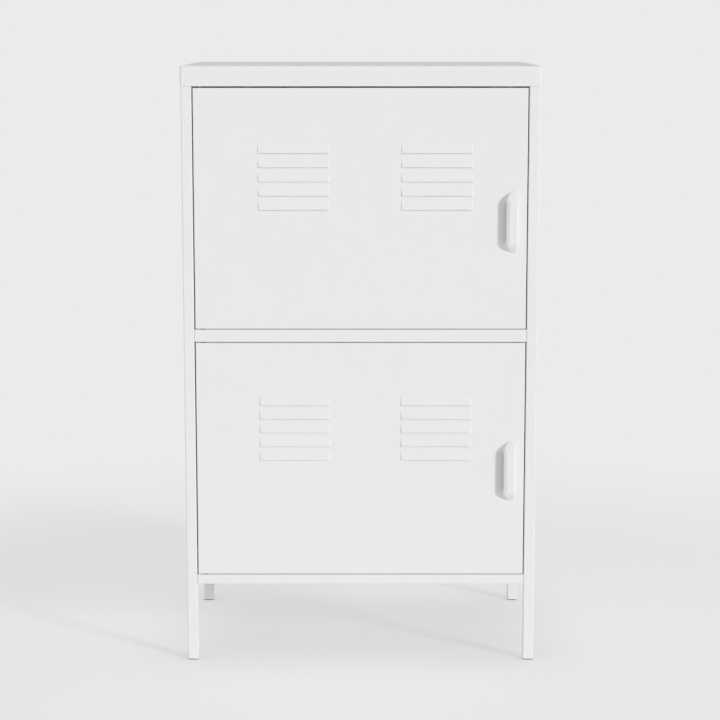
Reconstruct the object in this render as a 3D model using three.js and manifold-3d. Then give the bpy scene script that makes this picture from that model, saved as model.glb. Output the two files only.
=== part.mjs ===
// Metal locker cabinet with two louvred doors, one above the other, on four tube legs.
// Millimetres, Z up, the front faces -Y. The origin is under the middle of the whole cabinet,
// handles included, on the surface it stands on.

import * as THREE from 'three';
import { mergeVertices } from 'three/addons/utils/BufferGeometryUtils.js';
import Module from 'manifold-3d';

// Outside of the cabinet, without the handles
const cabinetWidth = 600;
const cabinetDepth = 400;
const cabinetHeight = 1020;

// Steel sheet, the clearances and the faceting of round shapes
const sheet = 0.8;
const bendRadius = 0.6;
const fitGap = 0.2;
const cutOverrun = 1;
const bendSteps = 3;
const roundSides = 16;
const smallRoundSides = 12;
const coordinateStep = 1 / 1024;

// Corner posts, square tubes that run down to make the legs
const postWidth = 18;
const postWall = 1.2;
const postCornerRadius = 1.8;
const footPlugBase = 1.2;
const footPlugInset = 0.6;
const footPlugStem = 18;

// Levels of the two shelves and the height of the cap's rim
const legHeight = 135;
const bottomRailHeight = 16.9;
const middleRailBase = 556.6;
const middleRailHeight = 21.6;
const capRimHeight = 34;
const capCornerRadius = 2.4;
const capEdgeRadius = 1.6;

// Folded edges of the cap, shelves and panels
const catchFlangeDepth = 42;
const plainFlangeDepth = 20;
const tabDepth = 17;
const tabHeight = 17;
const panelRecess = 2;
const panelFlange = 14;

// Doors
const doorDepth = 16;
const doorLip = 10;
const doorSideGap = 1.8;
const upperDoorTopGap = 2.5;
const lowerDoorTopGap = 1.2;
const doorBottomGap = 1;
const stiffenerTop = 40;
const stiffenerFlange = 12;

// Louvres pressed out of the door skin, five in each of two groups, the lowest just under the
// middle of the door
const louvreRows = 5;
const louvreWidth = 120;
const louvreHeight = 17.5;
const louvreProjection = 2.2;
const louvreEndSlope = 2;
const louvrePitch = 23.7;
const louvreSlotDrop = 0.6;
const louvreDrop = 0.9;
const louvreHingeMargin = 107.2;
const louvreLatchMargin = 91.2;

// Cup handles, open towards the hinges
const handleWidth = 19.8;
const handleHeight = 103;
const handleFlat = 67;
const handleProjection = 14;
const handleWall = 1.6;
const handleLatchRadius = 3;
const handleLipRadius = 4.6;
const handleLipDepth = 5;
const handleEdgeMargin = 15.7;
const handleCentreHeight = 181.5;
const handleEndPower = 1.6;
const handleTipShare = 0.97;
const handleSectionShares = [0, 0.22, 0.42, 0.6, 0.76, 0.9, 1];
const bossRadius = 4;
const bossSpacing = 77;
const bossBoreDepth = 9;

// Pivot pins and their bushes, on the left of each door
const pivotInset = 12;
const pivotSetback = 6;
const pinRadius = 2.5;
const pinHeadRadius = 4.5;
const pinHeadHeight = 1.5;
const pinReach = 12;
const pinChamfer = 0.8;
const pinBushClearance = 0.2;
const bushWall = 1;
const bushCollarRadius = 5;
const bushCollarHeight = 0.6;
const bushLength = 9;

// Screws
const screwRadius = 2;
const screwHeadRadius = 4;
const screwHeadHeight = 2.2;
const screwHoleClearance = 0.2;
const frameScrewLength = 9;
const handleScrewRadius = 1.6;
const handleScrewLength = 8;
const screwRecessWidth = 0.9;
const screwRecessLength = 4.4;
const screwRecessDepth = 1.2;
const screwEdgeShare = 0.45;
const screwCrownShare = 0.6;

// Magnetic catches under the flanges above the doors
const catchLength = 46;
const catchDepth = 20;
const catchHeight = 13;
const catchEdgeMargin = 18.2;
const catchDoorGap = 0.6;
const catchCornerRadius = 1.5;
const catchScrewSpacing = 38;
const catchScrewRadius = 1.5;
const catchScrewHeadRadius = 3;
const catchScrewHeadHeight = 1.8;
const catchScrewReach = 3;
const magnetLength = 30;
const magnetDepth = 14;
const magnetHeight = 5;
const magnetDrop = 6.5;
const magnetProud = 0.3;

// Stop strips behind the latch edge of each door, with two rubber buffers on each
const stopLeg = 26;
const stopWallLeg = 20;
const bufferRadius = 4;
const bufferStemRadius = 1.6;
const bufferBarbRadius = 1.8;
const bufferBarbLength = 1.5;
const bufferDome = 0.8;
const bufferDoorGap = 0.3;
const bufferEndMargin = 40;

// Planes and edges worked out from the sizes above, with the cap's front edge at Y = 0
const postInset = sheet + fitGap;
const postOuterX = cabinetWidth / 2 - postInset;
const postInnerX = postOuterX - postWidth;
const frontPlane = postInset;
const rearPlane = cabinetDepth - postInset;
const postFrontY = frontPlane + postWidth / 2;
const postRearY = rearPlane - postWidth / 2;
const railHalf = postInnerX - fitGap;
const sideFace = postOuterX - panelRecess;
const bayHalf = sideFace - sheet - fitGap;
const sideFrontY = frontPlane + postWidth + fitGap;
const sideRearY = rearPlane - postWidth - fitGap;
const bayFrontY = sideFrontY + sheet + fitGap;
const bayRearY = sideRearY - sheet - fitGap;
const backFace = rearPlane - panelRecess;
const bayBackY = backFace - sheet - fitGap;
const rearHalf = railHalf - sheet - fitGap;
const foldReach = 2 * (sheet + bendRadius);

// Levels worked out from the sizes above
const bottomFloor = legHeight + bottomRailHeight;
const middleFloor = middleRailBase + middleRailHeight;
const capBase = cabinetHeight - capRimHeight;
const postTop = cabinetHeight - sheet - fitGap;
const bottomScrewZ = legHeight + bottomRailHeight / 2;
const middleScrewZ = middleRailBase + middleRailHeight / 2;
const capScrewZ = capBase + tabHeight / 2;

// Door places
const doorWidth = 2 * (postInnerX - doorSideGap);
const doorHeights = {
  upper: capBase - upperDoorTopGap - middleFloor - doorBottomGap,
  lower: middleRailBase - lowerDoorTopGap - bottomFloor - doorBottomGap,
};
const hingeX = -doorWidth / 2 + pivotInset;
const hingeY = frontPlane + pivotSetback;
const doorBackY = frontPlane + doorDepth;
const bushRadius = pinRadius + pinBushClearance + bushWall;
const frontReach = handleProjection - frontPlane;

// Finishes
const whitePaint = { color: 0xf1f1f0, roughness: 0.42, metalness: 0 };
const zincPlate = { color: 0xb4b6b8, roughness: 0.35, metalness: 1 };
const whitePlastic = { color: 0xe6e6e3, roughness: 0.5, metalness: 0 };
const greyNylon = { color: 0x4c4e50, roughness: 0.55, metalness: 0 };
const darkRubber = { color: 0x2b2c2d, roughness: 0.8, metalness: 0 };
const magnetSteel = { color: 0x7d7f82, roughness: 0.4, metalness: 1 };

// Solids made from three.js geometries
const wasm = await Module();
wasm.setup();

const axisX = new THREE.Vector3(1, 0, 0);
const axisY = new THREE.Vector3(0, 1, 0);
const axisZ = new THREE.Vector3(0, 0, 1);

// Corners are rounded to one small step, so that faces meant to lie in one plane do
function solidFrom(geometry) {
  geometry.deleteAttribute('normal');
  geometry.deleteAttribute('uv');
  const corners = geometry.attributes.position.array;
  corners.forEach((value, i) => {
    corners[i] = Math.round(value / coordinateStep) * coordinateStep;
  });
  const welded = mergeVertices(geometry);
  const index = Array.from(welded.index.array);
  const triangles = [];
  for (let i = 0; i < index.length; i += 3) {
    const [a, b, c] = index.slice(i, i + 3);
    if (a !== b && b !== c && c !== a) triangles.push(a, b, c);
  }
  const mesh = new wasm.Mesh({
    numProp: 3,
    vertProperties: new Float32Array(welded.attributes.position.array),
    triVerts: new Uint32Array(triangles),
  });
  return new wasm.Manifold(mesh);
}

function join(...solids) {
  return solids.reduce((whole, solid) => whole.add(solid));
}

function cut(body, ...tools) {
  return tools.reduce((rest, tool) => rest.subtract(tool), body);
}

function block([x0, x1], [y0, y1], [z0, z1]) {
  const geometry = new THREE.BoxGeometry(x1 - x0, y1 - y0, z1 - z0);
  geometry.translate((x0 + x1) / 2, (y0 + y1) / 2, (z0 + z1) / 2);
  return solidFrom(geometry);
}

// An outline pushed along one axis: its points are (y, z) along x, (x, z) along y, (x, y) along z
function prism(outline, [from, to], along) {
  const shape = new THREE.Shape(outline.map(([a, b]) => new THREE.Vector2(a, b)));
  const geometry = new THREE.ExtrudeGeometry(shape, { depth: to - from, bevelEnabled: false });
  if (along === 'x') {
    geometry.applyMatrix4(new THREE.Matrix4().makeBasis(axisY, axisZ, axisX));
    geometry.translate(from, 0, 0);
  } else if (along === 'y') {
    geometry.applyMatrix4(new THREE.Matrix4().makeBasis(axisX, axisZ, axisY.clone().negate()));
    geometry.translate(0, to, 0);
  } else {
    geometry.translate(0, 0, from);
  }
  return solidFrom(geometry);
}

// Rings of equally many points, one after another, closed by a flat face at each end
function loft(rings) {
  const sides = rings[0].length;
  const index = [];
  for (let r = 0; r < rings.length - 1; r += 1) {
    for (let i = 0; i < sides; i += 1) {
      const j = (i + 1) % sides;
      const [a, b] = [r * sides + i, r * sides + j];
      index.push(a, b, b + sides, a, b + sides, a + sides);
    }
  }
  const last = (rings.length - 1) * sides;
  for (let i = 1; i < sides - 1; i += 1) {
    index.push(0, i + 1, i);
    index.push(last, last + i, last + i + 1);
  }
  const geometry = new THREE.BufferGeometry();
  geometry.setAttribute('position', new THREE.Float32BufferAttribute(rings.flat(2), 3));
  geometry.setIndex(index);
  return solidFrom(geometry);
}

// A profile of (radius, height) turned about an axis that points along the given direction
function turned(profile, sides, place, direction) {
  const points = profile.map(([radius, height]) => new THREE.Vector2(radius, height));
  const geometry = new THREE.LatheGeometry(points, sides);
  geometry.applyQuaternion(new THREE.Quaternion().setFromUnitVectors(axisY, direction));
  geometry.translate(...place);
  return solidFrom(geometry);
}

// Corners (x, y, radius) with each radius drawn as an arc
function rounded(corners) {
  return corners.flatMap(([x, y, radius], i) => {
    if (!radius) return [[x, y]];
    const corner = new THREE.Vector2(x, y);
    const [before, after] = [corners.at(i - 1), corners[(i + 1) % corners.length]].map(
      ([px, py]) => new THREE.Vector2(px, py).sub(corner).normalize(),
    );
    const half = Math.acos(before.dot(after)) / 2;
    const middle = before.clone().add(after).setLength(radius / Math.sin(half));
    const centre = corner.clone().add(middle);
    const start = corner.clone().addScaledVector(before, radius / Math.tan(half)).sub(centre);
    const turn = -Math.sign(before.cross(after)) * (Math.PI - 2 * half);
    return Array.from({ length: bendSteps + 1 }, (_, k) => {
      const point = start.clone().rotateAround(new THREE.Vector2(), (turn * k) / bendSteps);
      return [centre.x + point.x, centre.y + point.y];
    });
  });
}

function roundedRectangle([x0, x1], [y0, y1], radius) {
  return rounded([[x0, y0, radius], [x1, y0, radius], [x1, y1, radius], [x0, y1, radius]]);
}

function circle([x, y], radius, sides) {
  return Array.from({ length: sides }, (_, i) => {
    const angle = (2 * Math.PI * (i + 0.5)) / sides;
    return [x + radius * Math.cos(angle), y + radius * Math.sin(angle)];
  });
}

// Section of folded sheet: the path is one face, and the thickness lies to the left of it
function foldedSection(path) {
  const points = path.map(([x, y]) => new THREE.Vector2(x, y));
  const runs = points.slice(1).map((point, i) => point.clone().sub(points[i]).normalize());
  const normals = runs.map((run) => new THREE.Vector2(-run.y, run.x));
  const outer = [];
  const inner = [];
  points.forEach((point, i) => {
    const [before, after] = [normals[i - 1] ?? normals[i], normals[i] ?? normals[i - 1]];
    const shift = before.clone().add(after).multiplyScalar(sheet / (1 + before.dot(after)));
    const bend = i > 0 && i < runs.length ? Math.sign(runs[i - 1].cross(runs[i])) : 0;
    const [wide, tight] = bend ? [bendRadius + sheet, bendRadius] : [0, 0];
    outer.push([point.x, point.y, bend > 0 ? wide : tight]);
    inner.unshift([point.x + shift.x, point.y + shift.y, bend > 0 ? tight : wide]);
  });
  return rounded([...outer, ...inner]);
}

// A block whose face at y = face has rounded edges; depth runs away from the face along inward
function faceBlock([x0, x1], [z0, z1], face, depth, inward) {
  const radius = bendRadius + sheet;
  const ring = (inset, y) => [
    [x0 + inset, y, z0 + inset],
    [x1 - inset, y, z0 + inset],
    [x1 - inset, y, z1 - inset],
    [x0 + inset, y, z1 - inset],
  ];
  const rings = [];
  for (let k = 0; k <= bendSteps; k += 1) {
    const angle = (Math.PI / 2) * (k / bendSteps);
    rings.push(ring(radius * (1 - Math.sin(angle)), face + inward * radius * (1 - Math.cos(angle))));
  }
  rings.push(ring(0, face + inward * depth));
  return loft(inward > 0 ? rings.reverse() : rings);
}

// A folded pan: a face, four walls and a lip turned in round its open side
function pan(xs, zs, face, depth, lip, inward) {
  const shrink = ([low, high], by) => [low + by, high - by];
  const span = (near, far) => [Math.min(near, far), Math.max(near, far)];
  const back = face + inward * depth;
  const hollow = span(face + inward * sheet, lip ? back - inward * sheet : back + inward * cutOverrun);
  const body = cut(
    faceBlock(xs, zs, face, depth, inward),
    block(shrink(xs, sheet), hollow, shrink(zs, sheet)),
  );
  if (!lip) return body;
  const mouth = span(back - inward * (sheet + cutOverrun), back + inward * cutOverrun);
  return cut(body, block(shrink(xs, lip), mouth, shrink(zs, lip)));
}

// A pan-head screw: the underside of its head is at place, and its shank points along direction
function screw(place, direction, size) {
  const { radius, headRadius, headHeight, length } = size;
  const edgeHeight = headHeight * screwEdgeShare;
  const crownRadius = headRadius * screwCrownShare;
  const body = turned(
    [
      [0, -headHeight],
      [crownRadius, -headHeight],
      [headRadius, -edgeHeight],
      [headRadius, 0],
      [radius, 0],
      [radius, length - radius],
      [0, length],
    ],
    smallRoundSides,
    place,
    direction,
  );
  const recess = ([wide, high]) => {
    const halves = [wide / 2, high / 2];
    const along = Math.abs(direction.x) ? 'x' : Math.abs(direction.y) ? 'y' : 'z';
    const axis = 'xyz'.indexOf(along);
    const [a, b] = [0, 1, 2].filter((i) => i !== axis).map((i) => place[i]);
    const sign = direction.getComponent(axis);
    const ends = [sign * -(headHeight + cutOverrun), sign * (screwRecessDepth - headHeight)];
    const run = ends.map((end) => place[axis] + end).sort((p, q) => p - q);
    return prism(
      [
        [a - halves[0], b - halves[1]],
        [a + halves[0], b - halves[1]],
        [a + halves[0], b + halves[1]],
        [a - halves[0], b + halves[1]],
      ],
      run,
      along,
    );
  };
  const cross = join(
    recess([screwRecessLength, screwRecessWidth]),
    recess([screwRecessWidth, screwRecessLength]),
  );
  return cut(body, cross);
}

const frameScrew = {
  radius: screwRadius,
  headRadius: screwHeadRadius,
  headHeight: screwHeadHeight,
  length: frameScrewLength,
};
const handleScrew = { ...frameScrew, radius: handleScrewRadius, length: handleScrewLength };
const catchScrew = {
  radius: catchScrewRadius,
  headRadius: catchScrewHeadRadius,
  headHeight: catchScrewHeadHeight,
  length: catchHeight - catchScrewHeadHeight + fitGap + sheet + catchScrewReach,
};

function screwHole(centre, run, along, radius = screwRadius) {
  return prism(circle(centre, radius + screwHoleClearance, smallRoundSides), run, along);
}

// The object: the cabinet and its two doors
const locker = new THREE.Group();
const cabinet = new THREE.Group();
cabinet.position.set(0, (frontReach - cabinetDepth) / 2, 0);
locker.add(cabinet);

function addPiece(group, name, body, finish) {
  const { vertProperties, triVerts } = body.getMesh();
  const geometry = new THREE.BufferGeometry();
  geometry.setAttribute('position', new THREE.BufferAttribute(vertProperties, 3));
  geometry.setIndex(new THREE.BufferAttribute(triVerts, 1));
  geometry.computeVertexNormals();
  const mesh = new THREE.Mesh(geometry, new THREE.MeshStandardMaterial(finish));
  mesh.name = name;
  group.add(mesh);
}

// Ordered pair of x values on one side of the cabinet
function onSide(side, near, far) {
  return [side * near, side * far].sort((a, b) => a - b);
}

// A path drawn for the right side of the cabinet, or its mirror image for the left side
function mirrored(path, side) {
  return side > 0 ? path : path.map(([x, y]) => [-x, y]).reverse();
}

// Corner post: a square tube with a hole for each screw in its inner wall
function cornerPost(side, y) {
  const xs = onSide(side, postInnerX, postOuterX);
  const ys = [y - postWidth / 2, y + postWidth / 2];
  const zs = [footPlugBase + fitGap, postTop];
  const bore = ([low, high]) => [low + postWall, high - postWall];
  const through = [zs[0] - cutOverrun, zs[1] + cutOverrun];
  const wallCut = onSide(side, postInnerX - cutOverrun, postInnerX + postWall + cutOverrun);
  const holes = [bottomScrewZ, middleScrewZ, capScrewZ].map((z) => screwHole([y, z], wallCut, 'x'));
  return cut(
    prism(roundedRectangle(xs, ys, postCornerRadius), zs, 'z'),
    prism(roundedRectangle(bore(xs), bore(ys), postCornerRadius - postWall), through, 'z'),
    ...holes,
  );
}

// Foot plug: a base under the tube and a stem inside it
function footPlug(side, y) {
  const x = side * (postInnerX + postWidth / 2);
  const radius = postCornerRadius - postWall;
  const square = (half) => roundedRectangle([x - half, x + half], [y - half, y + half], radius);
  return join(
    prism(square(postWidth / 2 - footPlugInset), [0, footPlugBase], 'z'),
    prism(square(postWidth / 2 - postWall - fitGap), [footPlugBase / 2, footPlugStem], 'z'),
  );
}

// Side panel: a sheet with a flange behind the front post and one before the rear post
function sidePanel(side) {
  const path = [
    [sideFace - panelFlange, sideFrontY],
    [sideFace, sideFrontY],
    [sideFace, sideRearY],
    [sideFace - panelFlange, sideRearY],
  ];
  return prism(foldedSection(mirrored(path, side)), [legHeight, postTop], 'z');
}

// Back panel: a shallow pan between the rear posts, with screw holes in its side walls
function backPanel() {
  const zs = [legHeight, capBase - fitGap];
  const body = pan([-railHalf, railHalf], zs, backFace, panelFlange, 0, -1);
  const holes = [-1, 1].flatMap((side) => {
    const run = onSide(side, railHalf - sheet - cutOverrun, railHalf + cutOverrun);
    return [bottomScrewZ, middleScrewZ].map((z) => screwHole([postRearY, z], run, 'x'));
  });
  return cut(body, ...holes);
}

// Screw places in the catch above a door, as (x, y)
const catchX = doorWidth / 2 - catchEdgeMargin - catchLength / 2;
const catchFrontY = doorBackY + catchDoorGap;
const catchScrewPlaces = [-1, 1].map((end) => [
  catchX + (end * catchScrewSpacing) / 2,
  catchFrontY + catchDepth / 2,
]);

// Holes through a flat sheet whose underside is at the given level
function pinHole(level) {
  const run = [level - cutOverrun, level + sheet + cutOverrun];
  return prism(circle([hingeX, hingeY], pinRadius + screwHoleClearance, roundSides), run, 'z');
}

function flangeHoles(level) {
  const run = [level - cutOverrun, level + sheet + cutOverrun];
  const screwHoles = catchScrewPlaces.map((place) => screwHole(place, run, 'z', catchScrewRadius));
  return [pinHole(level), ...screwHoles];
}

// Shelf: a floor with three edges folded down, and a front edge folded down and back as a rail.
// The folds meet the flat floor in equal rectangles, so they join it face to face.
function shelf(base, top, flangeDepth, rearBase, carriesCatch) {
  const frontFoldY = frontPlane + foldReach;
  const rearFoldY = bayBackY - foldReach;
  const sideFoldX = bayHalf - foldReach;
  const front = foldedSection([
    [frontFoldY, top],
    [frontPlane, top],
    [frontPlane, base],
    [frontPlane + flangeDepth, base],
  ]);
  const rear = foldedSection([
    [bayBackY, rearBase],
    [bayBackY, top],
    [rearFoldY, top],
  ]);
  const floor = [
    [-railHalf, frontFoldY],
    [railHalf, frontFoldY],
    [railHalf, bayFrontY],
    [sideFoldX, bayFrontY],
    [sideFoldX, bayRearY],
    [rearHalf, bayRearY],
    [rearHalf, rearFoldY],
    [-rearHalf, rearFoldY],
    [-rearHalf, bayRearY],
    [-sideFoldX, bayRearY],
    [-sideFoldX, bayFrontY],
    [-railHalf, bayFrontY],
  ];
  const sidePath = [
    [bayHalf, base],
    [bayHalf, top],
    [sideFoldX, top],
  ];
  const screwZ = (base + top) / 2;
  const parts = [];
  const holes = [];
  for (const side of [-1, 1]) {
    const frontTab = onSide(side, railHalf - sheet, railHalf);
    const rearTab = onSide(side, rearHalf - sheet, rearHalf);
    const frontTabZ = [base + sheet + bendRadius, top - sheet - bendRadius];
    parts.push(
      prism(foldedSection(mirrored(sidePath, side)), [bayFrontY, bayRearY], 'y'),
      block(frontTab, [frontPlane + sheet, frontPlane + tabDepth], frontTabZ),
      block(rearTab, [bayBackY - tabDepth, bayBackY - sheet], [rearBase, frontTabZ[1]]),
    );
    const run = onSide(side, rearHalf - sheet - cutOverrun, railHalf + cutOverrun);
    holes.push(screwHole([postFrontY, screwZ], run, 'x'), screwHole([postRearY, screwZ], run, 'x'));
  }
  const body = join(
    prism(floor, [top - sheet, top], 'z'),
    prism(front, [-railHalf, railHalf], 'x'),
    prism(rear, [-rearHalf, rearHalf], 'x'),
    ...parts,
  );
  return cut(body, ...holes, pinHole(top - sheet), ...(carriesCatch ? flangeHoles(base) : []));
}

// Cap: a lid that slips over the posts, with its rim folded in to a flange at front and back
function topCap() {
  const outside = [
    [-cabinetWidth / 2, cabinetWidth / 2],
    [0, cabinetDepth],
  ];
  const outline = (inset) => {
    const [xs, ys] = outside.map(([low, high]) => [low + inset, high - inset]);
    return roundedRectangle(xs, ys, capCornerRadius - inset);
  };
  const ring = (inset, z) => outline(inset).map(([x, y]) => [x, y, z]);
  const rings = [ring(0, capBase)];
  for (let k = 0; k <= bendSteps; k += 1) {
    const angle = (Math.PI / 2) * (k / bendSteps);
    const rise = capEdgeRadius * (1 - Math.sin(angle));
    rings.push(ring(capEdgeRadius * (1 - Math.cos(angle)), cabinetHeight - rise));
  }
  const radius = capCornerRadius - sheet;
  const wallX = cabinetWidth / 2 - sheet;
  const [wallFront, wallRear] = [sheet, cabinetDepth - sheet];
  const [flangeFront, flangeRear] = [frontPlane + catchFlangeDepth, rearPlane - plainFlangeDepth];
  const mouth = rounded([
    [-wallX, wallFront, radius],
    [-railHalf, wallFront, 0],
    [-railHalf, flangeFront, 0],
    [railHalf, flangeFront, 0],
    [railHalf, wallFront, 0],
    [wallX, wallFront, radius],
    [wallX, wallRear, radius],
    [railHalf, wallRear, 0],
    [railHalf, flangeRear, 0],
    [-railHalf, flangeRear, 0],
    [-railHalf, wallRear, 0],
    [-wallX, wallRear, radius],
  ]);
  const shell = cut(
    loft(rings),
    prism(outline(sheet), [capBase + sheet, cabinetHeight - sheet], 'z'),
    prism(mouth, [capBase - cutOverrun, capBase + 2 * sheet], 'z'),
  );
  const tabs = [];
  const holes = [];
  for (const side of [-1, 1]) {
    const tab = onSide(side, railHalf - sheet, railHalf);
    const tabZ = [capBase + sheet, capBase + tabHeight];
    const run = onSide(side, railHalf - sheet - cutOverrun, railHalf + cutOverrun);
    tabs.push(
      block(tab, [frontPlane, frontPlane + tabDepth], tabZ),
      block(tab, [rearPlane - tabDepth, rearPlane], tabZ),
    );
    holes.push(screwHole([postFrontY, capScrewZ], run, 'x'), screwHole([postRearY, capScrewZ], run, 'x'));
  }
  return cut(join(shell, ...tabs), ...holes, ...flangeHoles(capBase));
}

// Pivot pin: its head lies behind the sheet it goes through, and its shank points to the door
function pivotPin(seatZ, up, doorEdge) {
  const reach = Math.abs(doorEdge - seatZ) + pinReach;
  return turned(
    [
      [0, -pinHeadHeight],
      [pinHeadRadius, -pinHeadHeight],
      [pinHeadRadius, 0],
      [pinRadius, 0],
      [pinRadius, reach - pinChamfer],
      [pinRadius - pinChamfer, reach],
      [0, reach],
    ],
    roundSides,
    [hingeX, hingeY, seatZ],
    up ? axisZ : axisZ.clone().negate(),
  );
}

// Magnetic catch, hanging under the flange at the given level
function catchParts(level) {
  const top = level - fitGap;
  const zs = [top - catchHeight, top];
  const xs = [catchX - catchLength / 2, catchX + catchLength / 2];
  const ys = [catchFrontY, catchFrontY + catchDepth];
  const magnetZ = top - magnetDrop;
  const pocket = (grow) => [
    [catchX - magnetLength / 2 - grow, catchX + magnetLength / 2 + grow],
    [magnetZ - magnetHeight / 2 - grow, magnetZ + magnetHeight / 2 + grow],
  ];
  const [pocketX, pocketZ] = pocket(fitGap);
  const [magnetX, magnetZs] = pocket(0);
  const magnetFront = catchFrontY - magnetProud;
  const housing = cut(
    prism(roundedRectangle(xs, ys, catchCornerRadius), zs, 'z'),
    block(pocketX, [catchFrontY - cutOverrun, magnetFront + magnetDepth + fitGap], pocketZ),
    ...catchScrewPlaces.flatMap((place) => [
      screwHole(place, [zs[0] - cutOverrun, zs[1] + cutOverrun], 'z', catchScrewRadius),
      screwHole(place, [zs[0] - cutOverrun, zs[0] + catchScrewHeadHeight], 'z', catchScrewHeadRadius),
    ]),
  );
  const magnet = block(magnetX, [magnetFront, magnetFront + magnetDepth], magnetZs);
  const screws = catchScrewPlaces.map(([x, y]) =>
    screw([x, y, zs[0] + catchScrewHeadHeight - fitGap], axisZ, catchScrew),
  );
  return { housing, magnet, screws };
}

// Stop strip: an angle on the right wall that the buffers stand on
const stopX = [bayHalf - stopLeg, bayHalf];
const bufferX = doorWidth / 2 - doorLip / 2;

function stopStrip(bottom, top, bufferZs) {
  const section = foldedSection([
    [stopX[0], bayFrontY],
    [stopX[1], bayFrontY],
    [stopX[1], bayFrontY + stopWallLeg],
  ]);
  const run = [bayFrontY - cutOverrun, bayFrontY + sheet + cutOverrun];
  const holes = bufferZs.map((z) => screwHole([bufferX, z], run, 'y', bufferStemRadius));
  return cut(prism(section, [bottom, top], 'z'), ...holes);
}

function buffer(z) {
  const seat = bayFrontY - fitGap;
  const height = seat - doorBackY - bufferDoorGap;
  const barb = sheet + 2 * fitGap;
  return turned(
    [
      [0, -barb - bufferBarbLength],
      [bufferStemRadius, -barb - bufferBarbLength],
      [bufferBarbRadius, -barb],
      [bufferStemRadius, -barb],
      [bufferStemRadius, 0],
      [bufferRadius, 0],
      [bufferRadius, height - bufferDome],
      [bufferRadius - bufferDome, height],
      [0, height],
    ],
    smallRoundSides,
    [bufferX, seat, z],
    axisY.clone().negate(),
  );
}

// Doors are drawn with the pivot axis at x = 0, y = 0 and the bottom edge at z = 0
const doorXs = [-pivotInset, doorWidth - pivotInset];
const doorFace = -pivotSetback;
const doorBack = doorFace + doorDepth;
const louvreCentres = [
  doorXs[0] + louvreHingeMargin + louvreWidth / 2,
  doorXs[1] - louvreLatchMargin - louvreWidth / 2,
];
const handleX = doorXs[1] - handleEdgeMargin - handleWidth / 2;
const handleScrewZs = [-1, 1].map((end) => handleCentreHeight + (end * bossSpacing) / 2);

// Hood of one louvre: level with the given face at its top edge, proud at its lip, with sloping
// ends. The inside of the hood is the same shape, set back by the thickness of the sheet.
function hood(x, z, half, face, back, drop) {
  const ring = (out, slope, level) => [
    [x - half, back, level],
    [x - half, face, level],
    [x - half + slope, face - out, level],
    [x + half - slope, face - out, level],
    [x + half, face, level],
    [x + half, back, level],
  ];
  const lip = ring(louvreProjection, louvreEndSlope, z);
  const rings = [lip, ring(0, 0, z + louvreHeight)];
  if (drop) rings.unshift(ring(louvreProjection, louvreEndSlope, z - drop));
  return loft(rings);
}

function doorSkin(height) {
  const outsides = [];
  const slots = [];
  const setBack = (sheet * Math.hypot(louvreHeight, louvreProjection)) / louvreHeight;
  const endWall = sheet * Math.hypot(louvreEndSlope, louvreProjection);
  const setIn = (endWall - setBack * louvreEndSlope) / louvreProjection;
  const slotBack = doorFace + sheet + cutOverrun;
  for (const x of louvreCentres) {
    for (let row = 0; row < louvreRows; row += 1) {
      const z = height / 2 - louvreDrop + row * louvrePitch;
      const half = louvreWidth / 2;
      outsides.push(hood(x, z, half, doorFace, doorFace + sheet / 2, 0));
      slots.push(hood(x, z, half - setIn, doorFace + setBack, slotBack, louvreSlotDrop));
    }
  }
  const bushHole = circle([0, 0], bushRadius + fitGap, roundSides);
  const faceRun = [doorFace - cutOverrun, slotBack];
  return cut(
    join(pan(doorXs, [0, height], doorFace, doorDepth, doorLip, 1), ...outsides),
    ...slots,
    prism(bushHole, [-cutOverrun, sheet + cutOverrun], 'z'),
    prism(bushHole, [height - sheet - cutOverrun, height + cutOverrun], 'z'),
    ...handleScrewZs.map((z) => screwHole([handleX, z], faceRun, 'y', handleScrewRadius)),
  );
}

// Stiffener: a hat section inside the skin, between the two groups of louvres
function doorStiffener(height) {
  const middle = (louvreCentres[0] + louvreCentres[1]) / 2;
  const seat = doorFace + sheet + fitGap;
  const crown = doorBack - sheet - fitGap;
  const half = stiffenerTop / 2;
  const section = foldedSection([
    [middle + half + stiffenerFlange, seat + sheet],
    [middle + half, seat + sheet],
    [middle + half, crown],
    [middle - half, crown],
    [middle - half, seat + sheet],
    [middle - half - stiffenerFlange, seat + sheet],
  ]);
  return prism(section, [sheet + fitGap, height - sheet - fitGap], 'z');
}

function bush(edge, inward) {
  const bore = pinRadius + pinBushClearance;
  return turned(
    [
      [bore, -fitGap - bushCollarHeight],
      [bushCollarRadius, -fitGap - bushCollarHeight],
      [bushCollarRadius, -fitGap],
      [bushRadius, -fitGap],
      [bushRadius, bushLength],
      [bore, bushLength],
      [bore, -fitGap - bushCollarHeight],
    ],
    roundSides,
    [0, 0, edge],
    inward,
  );
}

// Dome of the handle: sections across it, lower and narrower towards both ends
function handleDome(halfWidth, rise, foot, halfFlat, halfHeight) {
  const section = (share, z) => {
    const tip = share * handleTipShare;
    const half = halfWidth * Math.sqrt(1 - tip ** 2);
    const top = rise * (1 - tip ** handleEndPower);
    const limit = Math.min(half, top) * handleTipShare;
    const profile = rounded([
      [-half, foot, 0],
      [half, foot, 0],
      [half, top, Math.min(handleLatchRadius, limit)],
      [-half, top, Math.min(handleLipRadius, limit)],
    ]);
    return profile.reverse().map(([x, out]) => [handleX + x, doorFace - out, handleCentreHeight + z]);
  };
  const ends = handleSectionShares.map((share) => [share, halfFlat + share * (halfHeight - halfFlat)]);
  const below = ends.map(([share, along]) => section(share, -along)).reverse();
  const above = ends.map(([share, along]) => section(share, along));
  return loft([...below, ...above]);
}

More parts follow.
